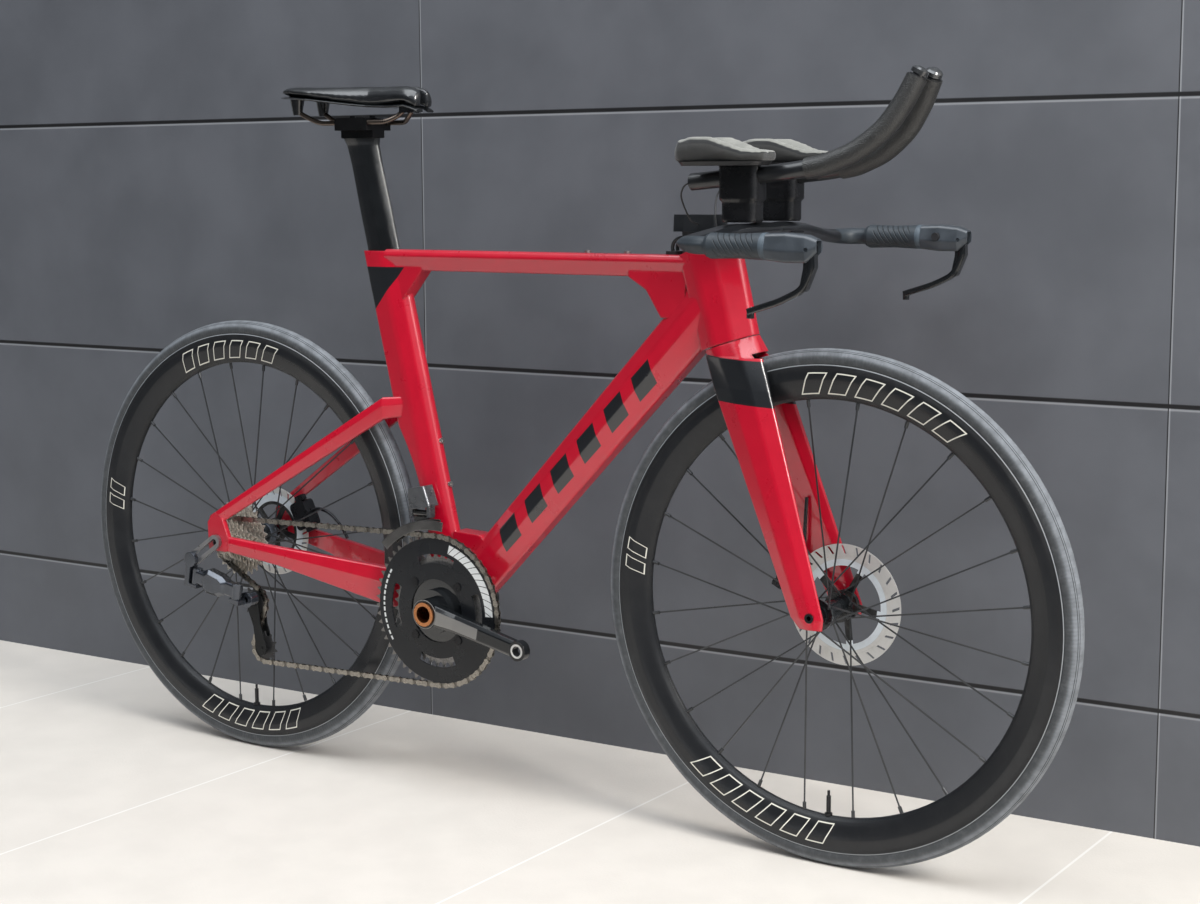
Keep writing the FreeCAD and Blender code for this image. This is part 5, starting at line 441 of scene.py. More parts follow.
TREAD_FOOT = 0.3235
TREAD_HALF = 0.0127
TREAD_SOFT = 0.0010
RIB_COUNT = 420
GROOVE_PLACES = (0.0072, 0.0092)
GROOVE_HALF = 0.00035
GROOVE_SHADE = (0.03, 0.033, 0.036)
RIM_ROUND = 0.012
PRINT_RADIUS = 0.2925
PRINT_HALF = 0.0140
PRINT_LINE = 0.0016
PRINT_SOFT = 0.0002
PRINT_SLANT = 14.0
FRONT_PRINTS = ((1.32, 0.40, 6), (-1.90, 0.38, 6), (3.00, 0.08, 2))
REAR_PRINTS = ((1.68, 0.36, 6), (-1.56, 0.36, 6), (3.00, 0.08, 2))
# A thin painted highlight along the rim's lip, standing in for the light its edge catches
LIP_RADIUS = 0.3163
LIP_WIDTH = 0.0012
LIP_PAINTED_HIGHLIGHT = (0.36, 0.38, 0.40)
CARRIER_RADIUS = 0.047
FIN_RADIUS = 0.0605
FIN_SHADE = (0.62, 0.67, 0.71)
FIN_SOFT = 0.0003
BRUSH_LINES = 9000.0
HUB_RING = (0.026, 0.031)


def tyre_finish(name, centre, colours):
    """Tread made paler by dust and by painted sunlight, with thin grooves, over darker side walls, with
    fine lines across both.
    """
    made, tree, shader = new_finish(name, specular_ior_level=0.35)
    where = effect(tree, "wheel", {"Centre": centre})
    texture = effect(tree, "grain", {"Scale": 1500.0})
    aside = calc(tree, "ABSOLUTE", where["Across"])
    outer = step(tree, where["Radius"], TREAD_FOOT - TREAD_SOFT, TREAD_FOOT + TREAD_SOFT)
    middle = step(tree, aside, TREAD_HALF + TREAD_SOFT, TREAD_HALF - TREAD_SOFT)
    running = calc(tree, "MULTIPLY", outer, middle)
    ribs = calc(tree, "SINE", calc(tree, "MULTIPLY", where["Angle"], float(RIB_COUNT)))
    # The paler tread is partly dust and partly painted light on the running surface
    worn = calc(tree, "MULTIPLY", running, scaled(tree, texture["Mottle"], 0.55, 1.0))
    grooves = 0.0
    for place in GROOVE_PLACES:
        groove = band(tree, aside, place - GROOVE_HALF, place + GROOVE_HALF, PRINT_SOFT)
        grooves = calc(tree, "ADD", grooves, groove)
    plain = mixed(tree, worn, tuple(colours.wall_rubber), tuple(colours.tread_dust_and_light))
    rubber = mixed(tree, calc(tree, "MULTIPLY", grooves, outer), plain, GROOVE_SHADE)
    road_dust = {"Color": rubber, "Dust": (0.24, 0.25, 0.26), "Amount": 0.16, "Scale": 90.0}
    dusted = effect(tree, "dust", road_dust)
    feed(tree, shader["Base Color"], dusted["Color"])
    feed(tree, shader["Roughness"], scaled(tree, running, 0.52, 0.74))
    relief = calc(tree, "ADD", calc(tree, "MULTIPLY", ribs, 0.35), texture["Grain"])
    feed(tree, shader["Normal"], bumped(tree, relief, 0.35, 0.0008))
    return made


def printed_bars(tree, where, middle, half_angle, count):
    """Mask of a row of plain slanted bars, outlined, along an arc of the rim's side."""
    first = calc(tree, "SUBTRACT", where["Angle"], middle - half_angle)
    depth = calc(tree, "SUBTRACT", where["Radius"], PRINT_RADIUS)
    turns = calc(tree, "MULTIPLY", first, count / (2 * half_angle))
    cells = calc(tree, "MULTIPLY_ADD", depth, PRINT_SLANT, turns)
    share = calc(tree, "FRACT", cells)
    arc = band(tree, cells, 0, count, 0.001)
    outer = calc(tree, "MULTIPLY", band(tree, share, 0.10, 0.78, 0.006),
                 band(tree, depth, -PRINT_HALF, PRINT_HALF, PRINT_SOFT))
    inner = calc(tree, "MULTIPLY", band(tree, share, 0.145, 0.735, 0.006),
                 band(tree, depth, PRINT_LINE - PRINT_HALF, PRINT_HALF - PRINT_LINE, PRINT_SOFT))
    return calc(tree, "MULTIPLY", arc, calc(tree, "SUBTRACT", outer, inner))


def rim_finish(name, centre, colours, prints):
    """Satin black rim with a painted highlight line along its lip and plain outlined bars printed along
    arcs of its sides.
    """
    made, tree, shader = new_finish(name, coat_weight=0.25, coat_roughness=0.22, specular_ior_level=0.35)
    where = effect(tree, "wheel", {"Centre": centre})
    uneven(tree, shader, 800.0, 0.30, 0.38)
    mark = 0.0
    for middle, half_angle, count in prints:
        mark = calc(tree, "ADD", mark, printed_bars(tree, where, middle, half_angle, count))
    black = tuple(colours.satin_black)
    rim_dust = {"Color": black, "Dust": (0.10, 0.10, 0.10), "Amount": 0.05, "Scale": DUST_SCALE}
    dusted = effect(tree, "dust", rim_dust)
    # Painted highlight: a pale line along the rim's lip
    painted_lip_highlight = band(tree, where["Radius"], LIP_RADIUS - LIP_WIDTH, LIP_RADIUS, PRINT_SOFT)
    with_painted_highlight = mixed(tree, painted_lip_highlight, dusted["Color"], LIP_PAINTED_HIGHLIGHT)
    feed(tree, shader["Base Color"], mixed(tree, mark, with_painted_highlight, tuple(colours.print_cream)))
    feed(tree, shader["Normal"], softened(tree, RIM_ROUND))
    return made


def rotor_finish(name, centre, colours):
    """Brushed steel braking band, pale cooling fins and a black carrier."""
    made, tree, shader = new_finish(name)
    where = effect(tree, "wheel", {"Centre": centre})
    uneven(tree, shader, 1200.0, 0.30, 0.42)
    fins = band(tree, where["Radius"], CARRIER_RADIUS, FIN_RADIUS, FIN_SOFT)
    brake = step(tree, where["Radius"], FIN_RADIUS - FIN_SOFT, FIN_RADIUS + FIN_SOFT)
    rings = calc(tree, "SINE", calc(tree, "MULTIPLY", where["Radius"], BRUSH_LINES))
    black = tuple(colours.gloss_black)
    with_fins = mixed(tree, fins, black, FIN_SHADE)
    shade = mixed(tree, brake, with_fins, tuple(colours.bare_steel))
    pad_dust = {"Color": shade, "Dust": (0.25, 0.23, 0.21), "Amount": 0.18, "Scale": 70.0}
    dusted = effect(tree, "dust", pad_dust)
    feed(tree, shader["Base Color"], dusted["Color"])
    feed(tree, shader["Metallic"], scaled(tree, brake, 0.15, 0.35))
    feed(tree, shader["Normal"], bumped(tree, calc(tree, "MULTIPLY", rings, brake), 0.08, 0.0002))
    return made


def hub_finish(name, centre, colours, ring_colour):
    """Gloss black hub shell with a coloured ring by the rotor."""
    made, tree, shader = new_finish(name, coat_weight=0.6, coat_roughness=0.1)
    where = effect(tree, "wheel", {"Centre": centre})
    uneven(tree, shader, 900.0, 0.22, 0.32)
    ring = band(tree, where["Across"], *HUB_RING, FIN_SOFT)
    shade = mixed(tree, ring, tuple(colours.gloss_black), ring_colour)
    feed(tree, shader["Base Color"], shade)
    return made


class BIKE_OT_wheels(bpy.types.Operator):
    """Finish the tyres, rims, spokes, hubs, valves and rotors"""

    bl_idname = "bike.wheels"
    bl_label = "Wheels"

    def execute(self, context):
        colours = context.scene.bike_colours
        spokes = coated("spoke_grey", (0.055, 0.057, 0.060), 0.34, metallic=0.5, grain=0)
        valve = coated("valve_black", (0.03, 0.03, 0.032), 0.3, metallic=0.8)
        ends = (("front", FRONT_AXLE, colours.accent_orange, FRONT_PRINTS),
                ("rear", REAR_AXLE, colours.mech_grey, REAR_PRINTS))
        for end, centre, ring, prints in ends:
            dress(tyre_finish(end + "_tyre_rubber", centre, colours), end + "_tyre")
            dress(rim_finish(end + "_rim_satin", centre, colours, prints), end + "_rim")
            dress(rotor_finish(end + "_rotor_steel", centre, colours), end + "_rotor")
            dress(hub_finish(end + "_hub_gloss", centre, colours, tuple(ring)), end + "_hub")
            dress(spokes, end + "_spokes")
            dress(valve, end + "_valve")
        return {"FINISHED"}


# Drive train

MOUNTS = {mount["name"]: mount for mount in frame["record"]["mounts"]}
PEDAL_EYE = Vector(MOUNTS["right_pedal_thread"]["pos_m"])
FACE_ACROSS = -0.0600
FACE_FROM = 0.020
FACE_REACH = 0.098
FACE_SHADE = (0.25, 0.243, 0.232)
EYE_RING = (0.0070, 0.0100)
PLATE_STEP = 0.0020
GREASE = (0.06, 0.052, 0.044)
GREASE_SCALE = 420.0
MECH_ROUND = 0.002
MARK_INNER = 0.0880
MARK_OUTER = 0.1010
MARK_FROM = 0.02
MARK_TO = 1.32
MARK_COUNT = 9.0
MARK_SLANT = 60.0
MARK_SOFT = 0.004
DASH_FROM = 2.55
DASH_TO = 3.2
DASH_COUNT = 11.0
DASH_INNER = 0.0955
DASH_OUTER = 0.0985
RING_FACE = 0.0435
RING_SOFT = 0.0003
TOOTH_FOOT = 0.1052
TOOTH_SOFT = 0.0010
TOOTH_SHADE = (0.20, 0.19, 0.18)


def chainring_finish(colours):
    """Black disc with plain white printed blocks and bright teeth."""
    made, tree, shader = new_finish("chainring_black", coat_weight=0.15, coat_roughness=0.10,
                                    specular_ior_level=0.3)
    where = effect(tree, "wheel", {"Centre": BRACKET})
    texture = uneven(tree, shader, 900.0, 0.24, 0.36)
    arc = calc(tree, "MULTIPLY", band(tree, where["Angle"], MARK_FROM, MARK_TO, MARK_SOFT),
               band(tree, where["Radius"], MARK_INNER, MARK_OUTER, RING_SOFT))
    face = BRACKET.y - RING_FACE
    outside = step(tree, where["Across"], face, face - 0.0005)
    turns = calc(tree, "MULTIPLY", where["Angle"], MARK_COUNT)
    slant = calc(tree, "MULTIPLY_ADD", where["Radius"], MARK_SLANT, turns)
    gaps = step(tree, calc(tree, "FRACT", slant), 0.10, 0.13)
    mark = calc(tree, "MULTIPLY", calc(tree, "MULTIPLY", arc, gaps), outside)
    turned = calc(tree, "ABSOLUTE", where["Angle"])
    dashes = calc(tree, "MULTIPLY", band(tree, turned, DASH_FROM, DASH_TO, MARK_SOFT),
                  band(tree, where["Radius"], DASH_INNER, DASH_OUTER, RING_SOFT))
    spacing = calc(tree, "FRACT", calc(tree, "MULTIPLY", turned, DASH_COUNT))
    dashed = calc(tree, "MULTIPLY", dashes, step(tree, spacing, 0.3, 0.34))
    mark = calc(tree, "MAXIMUM", mark, calc(tree, "MULTIPLY", dashed, outside))
    teeth = step(tree, where["Radius"], TOOTH_FOOT, TOOTH_FOOT + TOOTH_SOFT)
    shade = mixed(tree, mark, tuple(colours.satin_black), tuple(colours.mark_white))
    toothed = mixed(tree, teeth, shade, TOOTH_SHADE)
    feed(tree, shader["Base Color"], toothed)
    feed(tree, shader["Metallic"], calc(tree, "MULTIPLY", teeth, 0.9))
    feed(tree, shader["Normal"], bumped(tree, texture["Grain"], 0.03, 0.0005))
    return made


def crank_finish(colours):
    """Gloss black arm with a satin grey face by the spindle and a bright ring round the pedal's thread."""
    made, tree, shader = new_finish("crank_arm_gloss", coat_roughness=0.05, specular_ior_level=0.3)
    texture = effect(tree, "grain", {"Scale": 900.0})
    root = effect(tree, "wheel", {"Centre": BRACKET})
    eye = effect(tree, "wheel", {"Centre": PEDAL_EYE})
    normal = add(tree, "ShaderNodeNewGeometry").outputs["True Normal"]
    facing = step(tree, add(tree, "ShaderNodeSeparateXYZ", {0: normal}).outputs[1], -0.86, -0.92)
    face = calc(tree, "MULTIPLY", facing, step(tree, root["Across"], FACE_ACROSS + 0.001, FACE_ACROSS))
    grey = calc(tree, "MULTIPLY", face, band(tree, root["Radius"], FACE_FROM, FACE_REACH, 0.0008))
    ring = calc(tree, "MULTIPLY", face, band(tree, eye["Radius"], *EYE_RING, 0.0002))
    shade = mixed(tree, grey, tuple(colours.gloss_black), FACE_SHADE)
    feed(tree, shader["Base Color"], mixed(tree, ring, shade, tuple(colours.bare_steel)))
    bright = calc(tree, "MAXIMUM", grey, ring)
    feed(tree, shader["Metallic"], calc(tree, "MULTIPLY", bright, 0.45))
    feed(tree, shader["Coat Weight"], calc(tree, "SUBTRACT", 0.35, calc(tree, "MULTIPLY", bright, 0.35)))
    rough = scaled(tree, texture["Mottle"], 0.14, 0.20)
    feed(tree, shader["Roughness"], calc(tree, "MULTIPLY_ADD", bright, 0.2, rough))
    feed(tree, shader["Normal"], softened(tree, MECH_ROUND))
    return made


def greased(name, shade, rough):
    """Plated steel with dark grease in patches."""
    made, tree, shader = new_finish(name, metallic=0.55)
    texture = uneven(tree, shader, 1600.0, rough * 0.8, rough * 1.3)
    greasy = effect(tree, "dust", {"Color": shade, "Dust": GREASE, "Amount": 0.75, "Scale": GREASE_SCALE})
    feed(tree, shader["Base Color"], greasy["Color"])
    feed(tree, shader["Normal"], bumped(tree, texture["Grain"], 0.06, 0.0004))
    return made


def chain_finish(shade):
    """Outer plates over inner plates and rollers darkened with painted shade for the gaps between plates,
    with grease in patches over all.
    """
    made, tree, shader = new_finish("chain_plate", metallic=1.0)
    _, aside, _ = places(tree)
    low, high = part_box("chain")
    off = calc(tree, "ABSOLUTE", calc(tree, "SUBTRACT", aside, (low.y + high.y) / 2))
    outer = step(tree, off, PLATE_STEP - 0.0001, PLATE_STEP + 0.0001)
    texture = uneven(tree, shader, 1600.0, 0.24, 0.38)
    # Painted shade: inner plates and rollers darker than the outer plates, standing in for the gaps between
    # them
    plates_with_painted_shade = mixed(tree, outer, tinted(shade, 0.40), tinted(shade, 0.72))
    greasy = effect(tree, "dust", {"Color": plates_with_painted_shade, "Dust": GREASE, "Amount": 0.6, "Scale": GREASE_SCALE})
    feed(tree, shader["Base Color"], greasy["Color"])
    feed(tree, shader["Normal"], bumped(tree, texture["Grain"], 0.06, 0.0004))
    return made


class BIKE_OT_drive(bpy.types.Operator):
    """Finish the crank, chainrings, chain, sprockets and derailleurs"""

    bl_idname = "bike.drive"
    bl_label = "Drive train"

    def execute(self, context):
        colours = context.scene.bike_colours
        warm = tuple(colours.warm_steel)
        dress(chain_finish(warm), "chain")
        dress(greased("sprocket_steel", tinted(warm, 1.25), 0.28), "cassette")
        dress(chainring_finish(colours), "chainring_outer")
        dress(greased("inner_ring_steel", (0.30, 0.29, 0.28), 0.34), "chainring_inner")
        dress(coated("ring_pin_black", (0.03, 0.03, 0.032), 0.3, metallic=0.8), "chainring_bolts")
        arms = coated("crank_gloss", tuple(colours.gloss_black), 0.16, coat_weight=0.8, coat_roughness=0.05)
        dress(arms, "crank_arm_left", "crank_spider")
        dress(crank_finish(colours), "crank_arm_right")
        dress(coated("spindle_copper", tuple(colours.copper), 0.28, metallic=1.0), "crank_spindle")
        grey = tuple(colours.mech_grey)
        mech = coated("mech_grey", grey, 0.17, edge=MECH_ROUND, metallic=0.8, coat_weight=0.8)
        dress(mech, "rd_knuckle", "rd_arm", "rd_lower_knuckle")
        front_mech = coated("front_mech_grey", (0.17, 0.175, 0.185), 0.28, edge=MECH_ROUND, metallic=0.8)
        dress(front_mech, "front_derailleur")
        dress(coated("cage_black", tuple(colours.gloss_black), 0.3, metallic=0.5), "rd_cage")
        dress(coated("pulley_black", (0.02, 0.02, 0.021), 0.5), "guide_pulley", "tension_pulley")
        dress(coated("cage_steel", (0.17, 0.165, 0.16), 0.22, edge=0.0015, metallic=0.9), "fd_cage")
        return {"FINISHED"}


# Cockpit and brakes

TAIL_ASIDE = 0.178
LINE_PITCH = 0.0075
LINE_SLANT = 0.7
LINES_FROM = 0.462
LINES_TO = 0.516
CUFF_WIDTH = 0.007
LEVER_ROUND = 0.003
RISER_ROUND = 0.004


def bar_finish(colours):
    """Satin black bar whose bends carry the tails of the rubber grips."""
    made, tree, shader = new_finish("bar_satin_tails", coat_roughness=0.2)
    _, aside, _ = places(tree)
    texture = effect(tree, "grain", {"Scale": 900.0})
    tails = step(tree, calc(tree, "ABSOLUTE", aside), TAIL_ASIDE - 0.0006, TAIL_ASIDE + 0.0006)
    shade = mixed(tree, tails, tuple(colours.satin_black), tuple(colours.grip_grey))
    feed(tree, shader["Base Color"], shade)
    feed(tree, shader["Coat Weight"], calc(tree, "SUBTRACT", 0.4, calc(tree, "MULTIPLY", tails, 0.4)))
    rough = scaled(tree, texture["Mottle"], 0.28, 0.36)
    feed(tree, shader["Roughness"], calc(tree, "MULTIPLY_ADD", tails, 0.22, rough))
    feed(tree, shader["Normal"], bumped(tree, texture["Grain"], 0.05, 0.0006))
    return made


def grip_finish(colours):
    """Grey rubber with moulded lines slanting across the middle of each grip and a paler cuff."""
    made, tree, shader = new_finish("grip_rubber")
    ahead, _, high = places(tree)
    texture = uneven(tree, shader, 1800.0, 0.46, 0.60)
    way = calc(tree, "MULTIPLY_ADD", high, LINE_SLANT, ahead)
    share = calc(tree, "FRACT", calc(tree, "MULTIPLY", way, 1 / LINE_PITCH))
    reach = band(tree, ahead, LINES_FROM, LINES_TO, 0.001)
    lines = calc(tree, "MULTIPLY", band(tree, share, 0.40, 0.60, 0.06), reach)
    grey = tuple(colours.grip_grey)
    cut = mixed(tree, lines, grey, tinted(grey, 0.45))
    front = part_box("bar_grips")[1].x
    cuff = step(tree, ahead, front - CUFF_WIDTH - 0.0004, front - CUFF_WIDTH)
    shade = mixed(tree, cuff, cut, tinted(grey, 2.6))
    feed(tree, shader["Base Color"], shade)
    relief = calc(tree, "SUBTRACT", calc(tree, "MULTIPLY", texture["Grain"], 0.2), lines)
    feed(tree, shader["Normal"], bumped(tree, relief, 0.6, 0.0010))
    return made


def tape_finish():
    """Dark pebbled tape with glints."""
    made, tree, shader = new_finish("tape_black", coat_weight=0.25, coat_roughness=0.3)
    where = add(tree, "ShaderNodeTexCoord").outputs["Object"]
    pebbles = add(tree, "ShaderNodeTexVoronoi", {"Vector": where, "Scale": 620.0}).outputs["Distance"]
    uneven(tree, shader, 1500.0, 0.34, 0.5)
    feed(tree, shader["Base Color"], mixed(tree, pebbles, (0.008, 0.008, 0.008), (0.036, 0.036, 0.035)))
    feed(tree, shader["Normal"], bumped(tree, pebbles, 0.6, 0.0009))
    return made


class BIKE_OT_cockpit(bpy.types.Operator):
    """Finish the base bar, levers, risers, extensions and calipers"""

    bl_idname = "bike.cockpit"
    bl_label = "Cockpit and brakes"

    def execute(self, context):
        colours = context.scene.bike_colours
        satin = coated("bar_satin", tuple(colours.satin_black), 0.34, dusty=0.05, coat_weight=0.4)
        dress(satin, "stem_cover", "extension_bars")
        dress(bar_finish(colours), "base_bar")
        dress(grip_finish(colours), "bar_grips")
        dress(coated("hood_shell", tuple(colours.hood_grey), 0.34, coat_weight=0.3), "lever_mounts")
        gloss = tuple(colours.gloss_black)
        lever = coated("lever_gloss", gloss, 0.14, edge=LEVER_ROUND, coat_weight=0.9, coat_roughness=0.04)
        dress(lever, "brake_lever_right", "brake_lever_left")
        button = coated("button_black", (0.022, 0.022, 0.024), 0.42)
        dress(button, "hood_button_right", "hood_button_left")
        dome = coated("button_gloss", (0.045, 0.047, 0.050), 0.2, coat_weight=0.8, metallic=0.5)
        dress(dome, "shift_button_right", "shift_button_left")
        riser = coated("riser_black", (0.006, 0.006, 0.007), 0.26, edge=RISER_ROUND, coat_weight=0.2)
        dress(riser, "risers")
        dress(tape_finish(), "extension_grips")
        dress(coated("cradle_black", (0.016, 0.016, 0.017), 0.4), "arm_cradles")
        caliper = coated("caliper_black", (0.02, 0.021, 0.024), 0.28, metallic=0.5)
        dress(caliper, "front_caliper", "rear_caliper")
        return {"FINISHED"}


# Soft pieces


def alone(piece):
    """Make one piece the only selected and active one."""
    bpy.ops.object.select_all(action="DESELECT")
    piece.select_set(True)
    bpy.context.view_layer.objects.active = piece


def copy_of(node, name):
    """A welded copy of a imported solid, as a new piece."""
    piece = bpy.data.objects.new(name, bike[node].data.copy())
    piece.data.name = name
    bpy.context.scene.collection.objects.link(piece)
    piece.data.materials.clear()
    alone(piece)
    bpy.ops.object.mode_set(mode="EDIT")
    bpy.ops.mesh.select_all(action="SELECT")
    bpy.ops.mesh.remove_doubles(threshold=0.00002)
    bpy.ops.object.mode_set(mode="OBJECT")
    return piece


def keep_side(piece, side):
    """Delete the half of a pair that is not on this side."""
    alone(piece)
    for face in piece.data.polygons:
        face.select = face.center.y * side < 0
    for edge in piece.data.edges:
        edge.select = False
    for corner in piece.data.vertices:
        corner.select = corner.co.y * side < 0
    bpy.ops.object.mode_set(mode="EDIT")
    bpy.ops.mesh.delete(type="VERT")
    bpy.ops.object.mode_set(mode="OBJECT")


def filled(piece, voxel, swell, steps):
    """Remesh a pad, blow its cover up with cloth, hold each point near its start, and smooth it."""
    alone(piece)
    remesh = piece.modifiers.new("Remesh", "REMESH")
    remesh.mode = "VOXEL"
    remesh.voxel_size = voxel
    bpy.ops.object.modifier_apply(modifier=remesh.name)
    start = [corner.co.copy() for corner in piece.data.vertices]
    cloth = piece.modifiers.new("Cloth", "CLOTH")
    cloth.settings.use_pressure = True
    cloth.settings.uniform_pressure_force = PRESSURE
    cloth.settings.effector_weights.gravity = 0
    cloth.settings.quality = 5
    scene = bpy.context.scene
    for number in range(1, steps + 1):
        scene.frame_set(number)
    alone(piece)
    bpy.ops.object.modifier_apply(modifier=cloth.name)
    scene.frame_set(1)
    for corner, first in zip(piece.data.vertices, start):
        moved = corner.co - first
        if moved.length > swell:
            corner.co = first + moved * (swell / moved.length)
    smooth = piece.modifiers.new("Smooth", "SMOOTH")
    smooth.factor = 0.5
    smooth.iterations = 3
    bpy.ops.object.modifier_apply(modifier=smooth.name)
    finer = piece.modifiers.new("Subdivision", "SUBSURF")
    finer.levels = 1
    finer.render_levels = 1
    bpy.ops.object.modifier_apply(modifier=finer.name)
    bpy.ops.object.shade_smooth()


PAD_SEAM_SOFT = 0.002
PAD_SEAM_SHARE = 0.2
PRESSURE = 2.0
SIDE_BAND = (0.006, 0.011)
POST_ROUND = 0.018


def pad_finish(colours, edge):
    """Foam pad: dark knitted sides, pale worn top above the seam height that follows the pad."""
    made, tree, shader = new_finish("arm_pad_cloth", sheen_weight=0.3, sheen_roughness=0.5)
    _, _, high = places(tree)
    texture = uneven(tree, shader, 1400.0, 0.72, 0.88)
    normal = add(tree, "ShaderNodeNewGeometry").outputs["Normal"]
    rise = add(tree, "ShaderNodeSeparateXYZ", {0: normal}).outputs[2]
    over = step(tree, high, edge - PAD_SEAM_SOFT, edge + PAD_SEAM_SOFT)
    upper = calc(tree, "MULTIPLY", step(tree, rise, 0.40, 0.52), over)
    piping = calc(tree, "MULTIPLY", band(tree, rise, 0.22, 0.44, 0.04), over)
    worn = calc(tree, "MULTIPLY", upper, scaled(tree, texture["Mottle"], 0.7, 1.0))
    sides = mixed(tree, piping, tuple(colours.pad_dark), tuple(colours.gloss_black))
    feed(tree, shader["Base Color"], mixed(tree, worn, sides, tuple(colours.pad_pale)))
    feed(tree, shader["Normal"], bumped(tree, texture["Grain"], 0.5, 0.0008))
    return made


class BIKE_OT_arm_pads(bpy.types.Operator):
    """Fill the two arm pads"""

    bl_idname = "bike.arm_pads"
    bl_label = "Arm pads"

    def execute(self, context):
        sizes = context.scene.bike_sizes
        low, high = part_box("arm_pads")
        cloth = pad_finish(context.scene.bike_colours, low.z + (high.z - low.z) * PAD_SEAM_SHARE)
        for side, word in ((-1, "right"), (1, "left")):
            pad = copy_of("arm_pads", "arm_pad_" + word)
            keep_side(pad, side)
            filled(pad, sizes.pad_voxel, sizes.pad_swell, sizes.cloth_steps)
            pad.data.materials.append(cloth)
            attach(pad, "fork_body")
            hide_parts("arm_pads")
        return {"FINISHED"}


def saddle_finish(colours, top):
    """Black cover: fine leather grain on top, gloss on the side band."""
    made, tree, shader = new_finish("saddle_cover", coat_roughness=0.1)
    _, _, high = places(tree)
    where = add(tree, "ShaderNodeTexCoord").outputs["Object"]
    cells = add(tree, "ShaderNodeTexVoronoi", {"Vector": where, "Scale": 700.0}).outputs["Distance"]
    texture = effect(tree, "grain", {"Scale": 1200.0})
    side = step(tree, high, top - SIDE_BAND[0], top - SIDE_BAND[1])
    shade = mixed(tree, texture["Mottle"], tuple(colours.saddle_black), (0.015, 0.016, 0.018))
    feed(tree, shader["Base Color"], shade)
    feed(tree, shader["Roughness"], scaled(tree, side, 0.42, 0.16))
    feed(tree, shader["Coat Weight"], calc(tree, "MULTIPLY", side, 0.6))
    fade = calc(tree, "SUBTRACT", 1.0, side)
    feed(tree, shader["Normal"], bumped(tree, calc(tree, "MULTIPLY", cells, fade), 0.25, 0.0006))
    return made


class BIKE_OT_saddle(bpy.types.Operator):
    """Fill the saddle's pad and finish the saddle, its rails and the seat post"""

    bl_idname = "bike.saddle"
    bl_label = "Saddle and seat post"

    def execute(self, context):
        colours = context.scene.bike_colours
        sizes = context.scene.bike_sizes
        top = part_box("saddle_pad")[1].z
        pad = copy_of("saddle_pad", "saddle_cushion")
        filled(pad, sizes.saddle_voxel, sizes.saddle_swell, sizes.cloth_steps)
        pad.data.materials.append(saddle_finish(colours, top))
        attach(pad, "saddle_body")
        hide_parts("saddle_pad")
        black = tuple(colours.gloss_black)
        gloss = {"coat_weight": 0.8, "coat_roughness": 0.06}
        dress(coated("post_gloss", black, 0.2, edge=POST_ROUND, **gloss), "seat_post")
        dress(coated("shell_gloss", black, 0.2, **gloss), "saddle_shell")
        dress(coated("clamp_black", (0.012, 0.012, 0.013), 0.3, metallic=0.6), "saddle_clamp")
        rails = coated("rail_tube", (0.15, 0.12, 0.10), 0.30, metallic=1.0)
        dress(rails, "saddle_rails")
        return {"FINISHED"}


# Stage

SEAM_HEIGHTS = (0.177, 0.586, 0.988)
SEAM_ALONG = (-0.385, 0.830)
SEAM_HALF = 0.0030
SEAM_SOFT = 0.001
# Painted highlight: colour and width of the lit lines painted beside the wall's seams
SEAM_PAINTED_HIGHLIGHT = (0.34, 0.35, 0.37)
SEAM_DARK = (0.008, 0.008, 0.009)
UPRIGHT_GAP = 0.0015
UPRIGHT_HIGHLIGHT_WIDTH = 0.0020
UPRIGHT_SOFT = 0.0004
ROAD_FROM = -1.1
ROAD_SOFT = 0.5
SLAB_WIDTH = 0.6
SLAB_START = 0.215
SKY_FRONT = 0.45
SKY_LOW = 0.05
SKY_HIGH = 0.95
SKY_DIM = (0.06, 0.065, 0.07)
SKY_BRIGHT = (0.90, 0.96, 1.05)
SKY_BEHIND = (0.80, 0.81, 0.82)


def wall_finish(colours):
    """Dark panels with shadow gaps and a painted highlight line beside each gap, seen from the bike's side
    only.
    """
    made, tree, shader = new_finish("wall_panels")
    ahead, _, high = places(tree)
    texture = uneven(tree, shader, 130.0, 0.42, 0.52)
    panel = tuple(colours.wall_panel)
    shade = mixed(tree, texture["Mottle"], tinted(panel, 0.9), tinted(panel, 1.08))
    gap = 0.0
    painted_highlight = 0.0
    for level in SEAM_HEIGHTS:
        gap = calc(tree, "ADD", gap, band(tree, high, level - SEAM_HALF, level + SEAM_HALF, SEAM_SOFT))
        # Painted highlight: a pale line just under each seam and beside each upright gap
        under = band(tree, high, level - SEAM_HALF * 2, level - SEAM_HALF, SEAM_SOFT)
        painted_highlight = calc(tree, "ADD", painted_highlight, under)
    for along in SEAM_ALONG:
        gap = calc(tree, "ADD", gap, band(tree, ahead, along - UPRIGHT_GAP, along, UPRIGHT_SOFT))
        painted_highlight = calc(tree, "ADD", painted_highlight, band(tree, ahead, along, along + UPRIGHT_HIGHLIGHT_WIDTH, UPRIGHT_SOFT))
    with_painted_highlight = mixed(tree, calc(tree, "MULTIPLY", painted_highlight, 0.6), shade, SEAM_PAINTED_HIGHLIGHT)
    gapped = mixed(tree, calc(tree, "MINIMUM", gap, 1.0), with_painted_highlight, SEAM_DARK)
    feed(tree, shader["Base Color"], gapped)
    clear = add(tree, "ShaderNodeBsdfTransparent").outputs[0]
    behind = add(tree, "ShaderNodeNewGeometry").outputs["Backfacing"]
    output = tree.nodes["Material Output"]
    panels = tree.nodes["Principled BSDF"].outputs[0]
    shown = add(tree, "ShaderNodeMixShader", {0: behind, 1: panels, 2: clear})
    tree.links.new(shown.outputs[0], output.inputs["Surface"])
    return made


